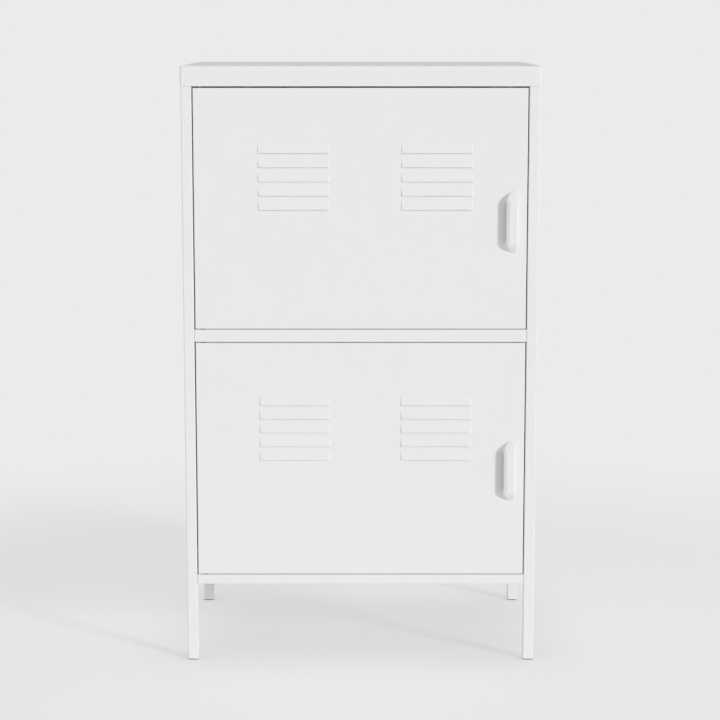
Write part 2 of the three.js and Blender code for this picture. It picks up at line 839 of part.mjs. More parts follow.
// Handle: a cup whose lip curls over the finger space, with a boss for a screw at each end
function doorHandle() {
  const half = handleWidth / 2;
  const seat = doorFace - fitGap;
  const outside = handleDome(half, handleProjection, fitGap, handleFlat / 2, handleHeight / 2);
  const inside = handleDome(
    half - handleWall,
    handleProjection - handleWall,
    -cutOverrun,
    handleFlat / 2,
    handleHeight / 2 - handleWall,
  );
  const fingerGap = block(
    [handleX - half - cutOverrun, handleX],
    [doorFace - handleProjection + handleLipDepth, doorFace + cutOverrun],
    [handleCentreHeight - handleFlat / 2, handleCentreHeight + handleFlat / 2],
  );
  const bosses = handleScrewZs.map((z) =>
    prism(circle([handleX, z], bossRadius, smallRoundSides), [doorFace - handleProjection, seat], 'y'),
  );
  const boreRun = [seat - bossBoreDepth, seat + cutOverrun];
  const bores = handleScrewZs.map((z) => screwHole([handleX, z], boreRun, 'y', handleScrewRadius));
  const solidBosses = join(...bosses).intersect(outside);
  return cut(join(cut(outside, inside, fingerGap), solidBosses), ...bores);
}

// Frame
const corners = [
  ['front_left', -1, postFrontY],
  ['front_right', 1, postFrontY],
  ['rear_left', -1, postRearY],
  ['rear_right', 1, postRearY],
];
for (const [name, side, y] of corners) {
  addPiece(cabinet, `${name}_post`, cornerPost(side, y), whitePaint);
  addPiece(cabinet, `${name}_foot_plug`, footPlug(side, y), greyNylon);
}
addPiece(cabinet, 'left_side_panel', sidePanel(-1), whitePaint);
addPiece(cabinet, 'right_side_panel', sidePanel(1), whitePaint);
addPiece(cabinet, 'back_panel', backPanel(), whitePaint);
addPiece(cabinet, 'top_cap', topCap(), whitePaint);
addPiece(
  cabinet,
  'middle_shelf',
  shelf(middleRailBase, middleFloor, catchFlangeDepth, middleRailBase, true),
  whitePaint,
);
addPiece(
  cabinet,
  'bottom_shelf',
  shelf(legHeight, bottomFloor, plainFlangeDepth, legHeight + sheet + fitGap, false),
  whitePaint,
);

// Screws that hold the shelves and the cap to the posts
for (const [name, side, y] of corners) {
  const front = y === postFrontY;
  const levels = [
    ['bottom', bottomScrewZ, front ? railHalf : rearHalf],
    ['middle', middleScrewZ, front ? railHalf : rearHalf],
    ['cap', capScrewZ, railHalf],
  ];
  for (const [level, z, tabFace] of levels) {
    const seat = [side * (tabFace - sheet - fitGap), y, z];
    const body = screw(seat, new THREE.Vector3(side, 0, 0), frameScrew);
    addPiece(cabinet, `${name}_${level}_screw`, body, zincPlate);
  }
}

// Each door with its pins, bushes, handle, catch, stop strip and buffers
const doors = [
  { name: 'upper', height: doorHeights.upper, floor: middleFloor, ceiling: capBase },
  { name: 'lower', height: doorHeights.lower, floor: bottomFloor, ceiling: middleRailBase },
];
for (const { name, height, floor, ceiling } of doors) {
  const bottomEdge = floor + doorBottomGap;
  const topEdge = bottomEdge + height;
  const topPin = pivotPin(ceiling + sheet + fitGap, false, topEdge);
  const bottomPin = pivotPin(floor - sheet - fitGap, true, bottomEdge);
  addPiece(cabinet, `${name}_door_top_pin`, topPin, zincPlate);
  addPiece(cabinet, `${name}_door_bottom_pin`, bottomPin, zincPlate);

  const { housing, magnet, screws } = catchParts(ceiling);
  addPiece(cabinet, `${name}_catch_housing`, housing, whitePlastic);
  addPiece(cabinet, `${name}_catch_magnet`, magnet, magnetSteel);
  addPiece(cabinet, `${name}_catch_left_screw`, screws[0], zincPlate);
  addPiece(cabinet, `${name}_catch_right_screw`, screws[1], zincPlate);

  const bufferZs = [bottomEdge + bufferEndMargin, topEdge - bufferEndMargin];
  addPiece(
    cabinet,
    `${name}_door_stop_strip`,
    stopStrip(floor + fitGap, ceiling - fitGap, bufferZs),
    whitePaint,
  );
  addPiece(cabinet, `${name}_door_bottom_buffer`, buffer(bufferZs[0]), darkRubber);
  addPiece(cabinet, `${name}_door_top_buffer`, buffer(bufferZs[1]), darkRubber);

  const door = new THREE.Group();
  door.position.set(hingeX, hingeY, bottomEdge);
  cabinet.add(door);
  addPiece(door, `${name}_door_skin`, doorSkin(height), whitePaint);
  addPiece(door, `${name}_door_stiffener`, doorStiffener(height), whitePaint);
  addPiece(door, `${name}_door_bottom_bush`, bush(0, axisZ), greyNylon);
  addPiece(door, `${name}_door_top_bush`, bush(height, axisZ.clone().negate()), greyNylon);
  addPiece(door, `${name}_door_handle`, doorHandle(), whitePaint);
  const headSeat = doorFace + sheet + fitGap;
  handleScrewZs.forEach((z, i) => {
    const body = screw([handleX, headSeat, z], axisY.clone().negate(), handleScrew);
    addPiece(door, `${name}_handle_${i ? 'top' : 'bottom'}_screw`, body, zincPlate);
  });
}

export default locker;
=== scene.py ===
"""Metal locker cabinet with two louvred doors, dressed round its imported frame.

Metres, Z up, the front of the cabinet faces -Y.
"""

import math

import bmesh
import bpy
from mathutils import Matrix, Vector


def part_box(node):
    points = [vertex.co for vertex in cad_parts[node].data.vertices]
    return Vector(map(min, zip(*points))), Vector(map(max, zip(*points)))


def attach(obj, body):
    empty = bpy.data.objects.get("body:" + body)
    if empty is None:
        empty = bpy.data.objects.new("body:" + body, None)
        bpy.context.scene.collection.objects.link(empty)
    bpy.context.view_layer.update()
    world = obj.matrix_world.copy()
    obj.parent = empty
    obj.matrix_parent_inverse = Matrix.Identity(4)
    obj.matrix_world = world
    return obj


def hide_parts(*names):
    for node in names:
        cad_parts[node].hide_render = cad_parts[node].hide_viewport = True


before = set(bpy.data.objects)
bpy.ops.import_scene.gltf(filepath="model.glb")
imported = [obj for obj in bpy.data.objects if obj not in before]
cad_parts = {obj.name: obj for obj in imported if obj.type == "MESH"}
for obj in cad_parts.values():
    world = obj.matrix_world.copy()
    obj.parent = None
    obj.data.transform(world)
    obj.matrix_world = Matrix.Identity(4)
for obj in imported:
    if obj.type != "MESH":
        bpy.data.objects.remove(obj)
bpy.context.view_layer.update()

bl_info = {
    "name": "Metal Locker Cabinet",
    "version": (1, 0, 0),
    "blender": (4, 5, 0),
    "location": "3D View > Sidebar > Locker",
    "description": "Models and finishes a metal locker cabinet with two louvred doors",
    "category": "Object",
}

# Doors, corners and screw levels, as the frame's nodes name them
DOORS = ("upper", "lower")
CORNERS = ("front_left", "front_right", "rear_left", "rear_right")
LEVELS = ("bottom", "middle", "cap")
PIVOT = sum(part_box("upper_door_bottom_bush"), Vector()) / 2
UP, DOWN, FORWARD = Vector((0, 0, 1)), Vector((0, 0, -1)), Vector((0, -1, 0))

# Modelling: tolerances, overrun of cuts, play round what is pushed in, steps of round shapes
CLOSE = 1e-6
MERGE = 1e-5
CUT_OVERRUN = 0.002
FIT_GAP = 0.0002
ROUND_SIDES = 48
SMALL_STEPS = 3
FOLD_STEPS = 4
EDGE_STEPS = 6
CORNER_STEPS = 8
SMOOTH_ANGLE = math.radians(32)
FOLD_ANGLE = math.radians(60)
NORMAL_WEIGHT = 80

# Grid lines of a louvre, evenly spaced over its sloping end and over its height, so that the
# ridge between the two runs through the grid's corners; margins are in steps
LOUVRE_STEPS = 14
LOUVRE_MARGIN_STEPS = (2, 1, 0.5)

# Handle: the steps along a narrowing end, how nearly its width and depth reach zero there, how
# fast its depth falls and how far its tip shifts to the latch edge; then the groove beside the
# hem, the rounding of the finger opening and the core that trims the screw bosses
HANDLE_END_SHARES = (0.1, 0.2, 0.3, 0.41, 0.52, 0.63, 0.73, 0.82, 0.9, 0.96, 1)
HANDLE_TIP_SHARE = 0.97
HANDLE_END_POWER = 1.6
HANDLE_END_SHIFT_SHARE = 0.5
GROOVE_FLOOR_SHARE = 0.55
GROOVE_DEPTH_SHARE = 0.7
HANDLE_OPENING_RADIUS = 0.005
HANDLE_CORE_SHARES = (0.97, 0.97, 0.99)

# Small parts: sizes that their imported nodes' boxes don't give; a head is its radius and height
SHANK_RADII = {"handle": 0.0016, "catch": 0.0015, "pin": 0.0025, "screw": 0.002}
FRAME_HEAD = (0.004, 0.0022)
CATCH_HEAD = (0.003, 0.0018)
SCREW_SIDES = 32
SCREW_RIM_SHARE = 0.4
DOME_SHARES = (0.12, 0.3, 0.48, 0.64, 0.78, 0.9, 1)
RECESS_SHARES = (0.55, 0.12, 0.3)
RECESS_TAPER_SHARE = 0.6
PIN_HEAD = 0.0015
PIN_EDGE_SHARE = 0.3
PIN_CHAMFER = 0.0008
BUSH_COLLAR = 0.0006
BUSH_RADIUS = 0.0037
BUSH_BORE = 0.0027
BUFFER_STEM = 0.0016
BUFFER_BARB = 0.0018
BUFFER_BARB_LENGTH = 0.0015
BUFFER_SEAT = 0.0027
BUFFER_DOME = 0.0008
CATCH_CORNER = 0.0015
CATCH_EDGE = 0.0004
MAGNET_HALF = 0.0016
MAGNET_RECESS = 0.0003
PLUG_SHOULDER = 0.0008
PLUG_TAPER = 0.0015
PLUG_WALL = 0.0022

# Effects: the sizes of their noise, the part of a noise that is used, and their strengths
CLOUD_SIZE = 0.21
PATCH_SIZE = 0.035
WEAR_SIZE = 0.012
DUST_SIZE = 0.006
FLOOR_GRAIN_SIZE = 0.004
NOISE_MIDDLE = (0.3, 0.7)
FINE_GRAIN_RATIO = 4.3
CLOUD_SHARE = 0.65
EDGE_GAIN = 4.0
EDGE_SAMPLES = 4
WEAR_SPREAD = 1.6
DUST_POWER = 4.0
DUST_COLOUR = (0.62, 0.61, 0.59)
DUST_ROUGHNESS = 0.3

# Camera and image
LENS_MM = 103.905
SENSOR_MM = 36
CAMERA_PLACE = (0, -3.6698, 1.081)
CAMERA_PITCH = math.radians(9.067)
CAMERA_SHIFT = -0.00068

# Lamps: angle to the right of the camera, angle above the floor, width of the light's cone
KEY_ANGLES = (math.radians(48.5), math.radians(14.5), math.radians(10))
FILL_ANGLES = (math.radians(-50), math.radians(14), math.radians(60))
LAMP_DISTANCE = 5

# Floor: its disc, the distances between which it fades into the backdrop, its change of tone,
# how far round the feet and the cabinet its painted shade reaches and by what share, and its
# colour in light that it returns
FLOOR_RADIUS = 9
FLOOR_SIDES = 96
FLOOR_FADE = (0.8, 1.65)
FLOOR_GRAIN = (0.995, 1.005)
PAINTED_SHADE_REACH = 0.2
PAINTED_SHADE_SHARE = 0.29
RETURNED_COLOUR = (0.8, 0.8, 0.8, 1)
WHITE = (1, 1, 1, 1)


class LockerSizes(bpy.types.PropertyGroup):
    """Sizes of the folds, louvres, handles, tubes and other shapes"""

    sheet: bpy.props.FloatProperty(
        name="Sheet", description="Thickness of the steel sheet", default=0.0008, unit="LENGTH"
    )
    fold_radius: bpy.props.FloatProperty(
        name="Fold radius", description="Outer radius of a folded edge", default=0.0014, unit="LENGTH"
    )
    door_lip: bpy.props.FloatProperty(
        name="Door lip", description="Width of the lip round a door's back", default=0.01, unit="LENGTH"
    )
    louvre_rows: bpy.props.IntProperty(
        name="Louvre rows", description="Louvres in each group", default=5, min=1
    )
    louvre_width: bpy.props.FloatProperty(
        name="Louvre width", description="Width of a louvre", default=0.12, unit="LENGTH"
    )
    louvre_height: bpy.props.FloatProperty(
        name="Louvre height", description="Height from lip to top edge", default=0.0175, unit="LENGTH"
    )
    louvre_projection: bpy.props.FloatProperty(
        name="Louvre projection", description="How far a lip stands out", default=0.0022, unit="LENGTH"
    )
    louvre_end_slope: bpy.props.FloatProperty(
        name="Louvre end slope", description="Width of the sloping ends", default=0.002, unit="LENGTH"
    )
    louvre_pitch: bpy.props.FloatProperty(
        name="Louvre pitch", description="Distance between lips", default=0.0237, unit="LENGTH"
    )
    louvre_drop: bpy.props.FloatProperty(
        name="Louvre drop", description="Lowest lip below the door's middle", default=0.0009, unit="LENGTH"
    )
    louvre_hinge_margin: bpy.props.FloatProperty(
        name="Hinge margin", description="From hinge edge to the first group", default=0.1072, unit="LENGTH"
    )
    louvre_latch_margin: bpy.props.FloatProperty(
        name="Latch margin", description="From latch edge to the second group", default=0.0912, unit="LENGTH"
    )
    louvre_blend: bpy.props.FloatProperty(
        name="Louvre blend", description="Rounding of a louvre's edges", default=0.0003, unit="LENGTH"
    )
    bush_hole: bpy.props.FloatProperty(
        name="Bush hole", description="Radius of the hole for a bush", default=0.0039, unit="LENGTH"
    )
    handle_flat: bpy.props.FloatProperty(
        name="Handle flat", description="Straight length of a handle", default=0.067, unit="LENGTH"
    )
    handle_wall: bpy.props.FloatProperty(
        name="Handle wall", description="Thickness of a handle's wall", default=0.0016, unit="LENGTH"
    )
    handle_lip_radius: bpy.props.FloatProperty(
        name="Handle lip radius", description="Rounding beside the fingers", default=0.0042, unit="LENGTH"
    )
    handle_latch_radius: bpy.props.FloatProperty(
        name="Handle latch radius", description="Rounding of the far long edge", default=0.003, unit="LENGTH"
    )
    handle_lip_depth: bpy.props.FloatProperty(
        name="Handle lip depth", description="Depth of the lip over the fingers", default=0.005, unit="LENGTH"
    )
    handle_hem: bpy.props.FloatProperty(
        name="Handle hem", description="Width of the rolled hem on the lip", default=0.0045, unit="LENGTH"
    )
    handle_groove: bpy.props.FloatProperty(
        name="Handle groove", description="Width of the crease beside the hem", default=0.0012, unit="LENGTH"
    )
    handle_boss_radius: bpy.props.FloatProperty(
        name="Handle boss", description="Radius of a screw boss", default=0.004, unit="LENGTH"
    )
    handle_screw_hole: bpy.props.FloatProperty(
        name="Handle screw hole", description="Radius of a handle's screw hole", default=0.0018, unit="LENGTH"
    )
    handle_screw_spacing: bpy.props.FloatProperty(
        name="Handle screw spacing", description="Between a handle's two screws", default=0.077, unit="LENGTH"
    )
    handle_bore_depth: bpy.props.FloatProperty(
        name="Handle bore depth", description="Depth of a screw bore", default=0.009, unit="LENGTH"
    )
    post_wall: bpy.props.FloatProperty(
        name="Post wall", description="Wall of a post's tube", default=0.0012, unit="LENGTH"
    )
    post_radius: bpy.props.FloatProperty(
        name="Post radius", description="Rounding of a post's edges", default=0.0018, unit="LENGTH"
    )
    plug_base: bpy.props.FloatProperty(
        name="Plug base", description="Height of a foot plug below its post", default=0.0012, unit="LENGTH"
    )
    plug_edge: bpy.props.FloatProperty(
        name="Plug edge", description="Rounding of a foot plug", default=0.0003, unit="LENGTH"
    )
    cap_corner_radius: bpy.props.FloatProperty(
        name="Cap corner radius", description="Upright corners of the cap", default=0.0034, unit="LENGTH"
    )
    cap_edge_radius: bpy.props.FloatProperty(
        name="Cap edge radius", description="Rounding round the top of the cap", default=0.0028, unit="LENGTH"
    )
    cap_front_flange: bpy.props.FloatProperty(
        name="Cap front flange", description="Fold behind the front rim", default=0.042, unit="LENGTH"
    )
    cap_rear_flange: bpy.props.FloatProperty(
        name="Cap rear flange", description="Fold inside the rear rim", default=0.02, unit="LENGTH"
    )
    tab: bpy.props.FloatProperty(
        name="Tab", description="Depth and height of a screw tab", default=0.017, unit="LENGTH"
    )
    screw_clearance: bpy.props.FloatProperty(
        name="Screw clearance", description="Play round a screw in sheet", default=0.0002, unit="LENGTH"
    )
    thread_pitch: bpy.props.FloatProperty(
        name="Thread pitch", description="Distance between thread ridges", default=0.0008, unit="LENGTH"
    )
    thread_depth: bpy.props.FloatProperty(
        name="Thread depth", description="Depth of the thread", default=0.00022, unit="LENGTH"
    )


class LockerFinishes(bpy.types.PropertyGroup):
    """Colours of the finishes and of the stage, and the strength of the light"""

    paint: bpy.props.FloatVectorProperty(
        name="Paint", description="Powder coat", default=(0.89, 0.89, 0.888), subtype="COLOR", size=3
    )
    primer: bpy.props.FloatVectorProperty(
        name="Primer",
        description="Under the paint at worn edges",
        default=(0.62, 0.62, 0.61),
        subtype="COLOR",
        size=3,
    )
    zinc: bpy.props.FloatVectorProperty(
        name="Zinc", description="Plated screws and pins", default=(0.56, 0.58, 0.59), subtype="COLOR", size=3
    )
    plastic: bpy.props.FloatVectorProperty(
        name="Plastic", description="White plastic", default=(0.76, 0.76, 0.74), subtype="COLOR", size=3
    )
    # On the foot plugs this near-black nylon is partly painted shade: it stands in for the contact shadow
    # under each foot
    nylon: bpy.props.FloatVectorProperty(
        name="Nylon",
        description="Grey nylon bushes and plugs",
        default=(0.05, 0.052, 0.055),
        subtype="COLOR",
        size=3,
    )
    rubber: bpy.props.FloatVectorProperty(
        name="Rubber", description="Rubber buffers", default=(0.025, 0.025, 0.026), subtype="COLOR", size=3
    )
    magnet: bpy.props.FloatVectorProperty(
        name="Magnet",
        description="Steel of the catch magnets",
        default=(0.32, 0.33, 0.34),
        subtype="COLOR",
        size=3,
    )
    backdrop: bpy.props.FloatVectorProperty(
        name="Backdrop", description="Background", default=(0.831, 0.831, 0.831), subtype="COLOR", size=3
    )
    floor: bpy.props.FloatVectorProperty(
        name="Floor",
        description="Floor seen by the camera",
        default=(0.45, 0.45, 0.45),
        subtype="COLOR",
        size=3,
    )
    floor_glow: bpy.props.FloatProperty(
        name="Floor glow", description="Share of the floor's tone that takes no shadow", default=0.53
    )
    floor_lift: bpy.props.FloatProperty(
        name="Floor lift", description="Soft light that the floor adds from below", default=0.14
    )
    key_light: bpy.props.FloatProperty(
        name="Key light", description="Low lamp to the right of the camera", default=1.6
    )
    fill_light: bpy.props.FloatProperty(
        name="Fill light", description="Soft lamp to the left of the camera", default=0.37
    )
    ambient: bpy.props.FloatProperty(
        name="Ambient", description="Soft light from all round", default=0.542
    )
    overhead: bpy.props.FloatProperty(
        name="Overhead", description="What the ambient light gains straight above", default=-0.2
    )


# Modelling


def deselect():
    if bpy.context.mode != "OBJECT":
        bpy.ops.object.mode_set(mode="OBJECT")
    bpy.ops.object.select_all(action="DESELECT")


def pick(piece):
    deselect()
    piece.select_set(True)
    bpy.context.view_layer.objects.active = piece


def edit(piece, action="DESELECT"):
    """Open a piece's mesh with nothing in it selected, or all of it."""
    pick(piece)
    bpy.ops.object.mode_set(mode="EDIT")
    bpy.ops.mesh.select_all(action=action)


def choose_all():
    bpy.ops.mesh.select_all(action="SELECT")


def choose(kind, test):
    """Select the corners, edges or faces that the test accepts."""
    bpy.ops.mesh.select_mode(type=kind)
    bpy.ops.mesh.select_all(action="DESELECT")
    mesh = bpy.context.edit_object.data
    shape = bmesh.from_edit_mesh(mesh)
    parts = {"VERT": shape.verts, "EDGE": shape.edges, "FACE": shape.faces}[kind]
    chosen = [part for part in parts if test(part)]
    if not chosen:
        raise RuntimeError(f"nothing to choose on {bpy.context.edit_object.name}")
    for part in chosen:
        part.select_set(True)
    shape.select_flush_mode()
    bmesh.update_edit_mesh(mesh)


def near(value, target, within=CLOSE):
    return abs(value - target) < within


def all_on(part, axis, value):
    """True where every corner of an edge or face has this value on this axis."""
    return all(near(corner.co[axis], value) for corner in part.verts)


def choose_uprights():
    """Select the edges that aren't level."""
    choose("EDGE", lambda edge: not near(edge.verts[0].co.z, edge.verts[1].co.z))


def remove_faces(test):
    choose("FACE", test)
    bpy.ops.mesh.delete(type="FACE")


def move(x=0.0, y=0.0, z=0.0):
    bpy.ops.transform.translate(value=(x, y, z))


def scale(factors, centre):
    bpy.ops.transform.resize(value=factors, center_override=centre)


def extrude(x=0.0, y=0.0, z=0.0):
    bpy.ops.mesh.extrude_region_move(TRANSFORM_OT_translate={"value": (x, y, z)})


def round_edges(radius, steps):
    bpy.ops.mesh.bevel(offset=radius, segments=steps, affect="EDGES")


def cut_across(axis, place):
    """Cut new edges into the whole shape, square to an axis at a place on it."""
    point, normal = Vector(), Vector()
    point[axis], normal[axis] = place, 1
    choose_all()
    bpy.ops.mesh.bisect(plane_co=point, plane_no=normal)


def keep_place():
    """Put the place, turn and size of the picked piece into its mesh."""
    bpy.ops.object.transform_apply(location=True, rotation=True, scale=True)


def shift(piece, step):
    """Move a piece's mesh and leave its origin."""
    edit(piece, "SELECT")
    move(*step)
    deselect()


def box(low, high):
    """A primitive cube at its size and place, with its place in its mesh."""
    deselect()
    low, high = Vector(low), Vector(high)
    bpy.ops.mesh.primitive_cube_add(size=1, location=(low + high) / 2)
    piece = bpy.context.object
    piece.scale = high - low
    keep_place()
    return piece


def rod(start, end, radius):
    """A primitive cylinder between two points, with its place in its mesh."""
    deselect()
    start, end = Vector(start), Vector(end)
    bpy.ops.mesh.primitive_cylinder_add(
        vertices=ROUND_SIDES,
        radius=radius,
        depth=(end - start).length,
        location=(start + end) / 2,
        rotation=(end - start).to_track_quat("Z", "Y").to_euler(),
    )
    keep_place()
    return bpy.context.object


def copy_of(piece):
    """A copy with its own mesh."""
    pick(piece)
    bpy.ops.object.duplicate(linked=False)
    return bpy.context.object


def discard(piece):
    pick(piece)
    bpy.ops.object.delete()


def apply_modifier(piece, kind, **settings):
    pick(piece)
    bpy.ops.object.modifier_add(type=kind)
    modifier = piece.modifiers[-1]
    for name, value in settings.items():
        setattr(modifier, name, value)
    bpy.ops.object.modifier_apply(modifier=modifier.name)


def combine(piece, operation, tool):
    """Cut away, join or keep the overlap with a tool, which is used up."""
    apply_modifier(piece, "BOOLEAN", operation=operation, object=tool, solver="EXACT")
    discard(tool)


def drill(piece, middle, axis, start, end, radius):
    """Cut a round hole along an axis through a middle, from start to end on the axis."""
    first, last = middle.copy(), middle.copy()
    first[axis], last[axis] = start, end
    combine(piece, "DIFFERENCE", rod(first, last, radius))


def give_thickness(piece, thickness):
    edit(piece, "SELECT")
    bpy.ops.mesh.normals_make_consistent(inside=False)
    apply_modifier(
        piece,
        "SOLIDIFY",
        thickness=thickness,
        offset=-1,
        use_even_offset=True,
        use_quality_normals=True,
    )


def complete(piece, name, body, nodes, slot):
    """Name, shade and finish a piece, and tie it to the frame."""
    pick(piece)
    keep_place()
    piece.name = piece.data.name = name
    piece.data.materials.clear()
    piece.data.materials.append(slot_materials()[slot])
    bpy.ops.object.shade_smooth_by_angle(angle=SMOOTH_ANGLE)
    apply_modifier(piece, "WEIGHTED_NORMAL", keep_sharp=True, weight=NORMAL_WEIGHT)
    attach(piece, body)
    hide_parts(*nodes)


# Door skins


def rounded_min(a, b, blend):
    """The smaller of two values, with the crossover between them rounded."""
    share = min(max(0.5 + 0.5 * (b - a) / blend, 0), 1)
    return b * (1 - share) + a * share - blend * share * (1 - share)


def rounded_foot(value, blend):
    """A value that leaves zero in a curve, and zero where it is well below."""
    if value <= -blend:
        return 0
    if value >= blend:
        return value
    return (value + blend) ** 2 / (4 * blend)


def louvre_rise(sizes, inward, up):
    """How far the sheet stands out at a place, by its distance from the louvre's end and lip."""
    by_height = sizes.louvre_projection * (1 - up / sizes.louvre_height)
    by_end = sizes.louvre_projection * inward / sizes.louvre_end_slope
    return rounded_foot(rounded_min(by_height, by_end, sizes.louvre_blend), sizes.louvre_blend / 2)


def louvre_group(sizes):
    """One group of louvres pressed out of a sheet: one louvre drawn and pressed, then repeated.

    Its middle is at x = 0, its lowest lip at z = 0 and its face at y = 0.
    """
    half = sizes.louvre_width / 2
    inner = [step / LOUVRE_STEPS for step in range(LOUVRE_STEPS + 1)]
    margins = [step / LOUVRE_STEPS for step in LOUVRE_MARGIN_STEPS]
    beyond = [1 + margin for margin in reversed(margins)]
    ends = [share * sizes.louvre_end_slope for share in [-m for m in margins] + inner + beyond]
    columns = [inward - half for inward in ends] + [half - inward for inward in reversed(ends)]
    rows = [share * sizes.louvre_height for share in inner + beyond[:-1]] + [sizes.louvre_pitch]

    deselect()
    bpy.ops.mesh.primitive_plane_add(size=1, rotation=(math.pi / 2, 0, 0))
    sheet = bpy.context.object
    keep_place()
    edit(sheet, "SELECT")
    scale((columns[1] - columns[0], 1, rows[1]), (0, 0, 0))
    move((columns[0] + columns[1]) / 2, 0, rows[1] / 2)
    choose("EDGE", lambda edge: all_on(edge, 0, columns[1]))
    for before, after in zip(columns[1:], columns[2:]):
        extrude(x=after - before)
    choose("EDGE", lambda edge: all_on(edge, 2, rows[1]))
    for before, after in zip(rows[1:], rows[2:]):
        extrude(z=after - before)

    for inward in ends:
        for up in rows[:-1]:
            rise = louvre_rise(sizes, inward, up)
            if rise > CLOSE:
                choose(
                    "VERT",
                    lambda corner: near(abs(corner.co.x), half - inward) and near(corner.co.z, up),
                )
                move(y=-rise)
    apply_modifier(sheet, "TRIANGULATE", quad_method="LONGEST_DIAGONAL")
    apply_modifier(
        sheet,
        "ARRAY",
        use_relative_offset=False,
        use_constant_offset=True,
        constant_offset_displace=(0, 0, sizes.louvre_pitch),
        count=sizes.louvre_rows,
        use_merge_vertices=True,
        merge_threshold=MERGE,
    )
    return sheet


def door_skin(group, door, sizes):
    """Frame two groups of louvres in a flat face, fold its edges back and cut its holes."""
    low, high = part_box(f"{door}_door_skin")
    handle_low, handle_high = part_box(f"{door}_door_handle")
    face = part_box("front_left_post")[0].y
    base = (low.z + high.z) / 2 - sizes.louvre_drop
    top = base + sizes.louvre_rows * sizes.louvre_pitch
    margin = LOUVRE_MARGIN_STEPS[0] / LOUVRE_STEPS * sizes.louvre_end_slope
    reach = sizes.louvre_width / 2 + margin
    middles = (
        low.x + sizes.louvre_hinge_margin + sizes.louvre_width / 2,
        high.x - sizes.louvre_latch_margin - sizes.louvre_width / 2,
    )

    skin, second = copy_of(group), copy_of(group)
    for piece, middle in zip((skin, second), middles):
        shift(piece, (middle, face, base))
    pick(second)
    skin.select_set(True)
    bpy.context.view_layer.objects.active = skin
    bpy.ops.object.join()

    edit(skin)
    draws = (
        (middles[0] + reach, middles[1] - middles[0] - 2 * reach),
        (middles[0] - reach, low.x - middles[0] + reach),
        (middles[1] + reach, high.x - middles[1] - reach),
    )
    for start, run in draws:
        choose("EDGE", lambda edge: all_on(edge, 0, start))
        extrude(x=run)
    choose("EDGE", lambda edge: all_on(edge, 2, top))
    extrude(z=high.z - top)
    bpy.ops.mesh.duplicate_move(TRANSFORM_OT_translate={"value": (0, 0, base - high.z)})
    extrude(z=low.z - base)
    choose_all()
    bpy.ops.mesh.remove_doubles(threshold=MERGE)

    sides = ((0, low.x), (0, high.x), (2, low.z), (2, high.z))
    choose("EDGE", lambda edge: any(all_on(edge, axis, value) for axis, value in sides))
    extrude(y=high.y - face)
    extrude()
    centre = (low + high) / 2
    shrink = [1 - 2 * sizes.door_lip / (high[axis] - low[axis]) for axis in (0, 2)]
    scale((shrink[0], 1, shrink[1]), centre)
    bpy.ops.mesh.select_all(action="DESELECT")
    bpy.ops.mesh.edges_select_sharp(sharpness=FOLD_ANGLE)
    round_edges(sizes.fold_radius, FOLD_STEPS)
    give_thickness(skin, sizes.sheet)

    drill(skin, PIVOT, 2, low.z - CUT_OVERRUN, high.z + CUT_OVERRUN, sizes.bush_hole)
    for middle in screw_places(handle_low, handle_high, sizes):
        drill(skin, middle, 1, face - CUT_OVERRUN, face + CUT_OVERRUN, sizes.handle_screw_hole)
    return skin


class LOCKER_OT_door_skins(bpy.types.Operator):
    """Press the louvres, fold the edges and cut the holes of both door skins"""

    bl_idname = "locker.door_skins"
    bl_label = "Door skins"

    def execute(self, context):
        sizes = context.scene.locker_sizes
        group = louvre_group(sizes)
        for door in DOORS:
            skin = door_skin(group, door, sizes)
            name = f"{door}_door_pressed_skin"
            complete(skin, name, f"{door}_door", [f"{door}_door_skin"], "white_paint")
        discard(group)
        return {"FINISHED"}


# Handles


def screw_places(low, high, sizes):
    """The middles of a handle's lower and upper screw, in the middle of the handle's depth."""
    middle = (low + high) / 2
    heights = [middle.z + end * sizes.handle_screw_spacing / 2 for end in (-1, 1)]
    return [Vector((middle.x, middle.y, height)) for height in heights]


def handle_core(low, high, flat):
    """The closed dome of a handle: a box drawn out and drawn in towards both ends."""
    middle = (low + high) / 2
    half_flat, half = flat / 2, (high.z - low.z) / 2
    core = box((low.x, low.y, middle.z - half_flat), (high.x, high.y, middle.z + half_flat))
    centre_x = middle.x + HANDLE_END_SHIFT_SHARE * (high.x - middle.x)
    for end in (-1, 1):
        edit(core)
        choose("FACE", lambda face: all_on(face, 2, middle.z + end * half_flat))
        along, wide, deep = 0, 1, 1
        for share in HANDLE_END_SHARES:
            tip = share * HANDLE_TIP_SHARE
            next_along = share * (half - half_flat)
            next_wide, next_deep = math.sqrt(1 - tip**2), 1 - tip**HANDLE_END_POWER
            extrude(z=end * (next_along - along))
            scale((next_wide / wide, next_deep / deep, 1), (centre_x, high.y, middle.z))
            along, wide, deep = next_along, next_wide, next_deep
    deselect()
    return core


def long_edge(edge, side, middle, rear):
    """True for a piece of the edge that runs round the front of a handle, on one side of it."""
    ahead = all(corner.co.y < rear - CLOSE and len(corner.link_edges) > 2 for corner in edge.verts)
    beside = all(side * (corner.co.x - middle) > 0 for corner in edge.verts)
    return ahead and beside and not near(edge.verts[0].co.z, edge.verts[1].co.z)


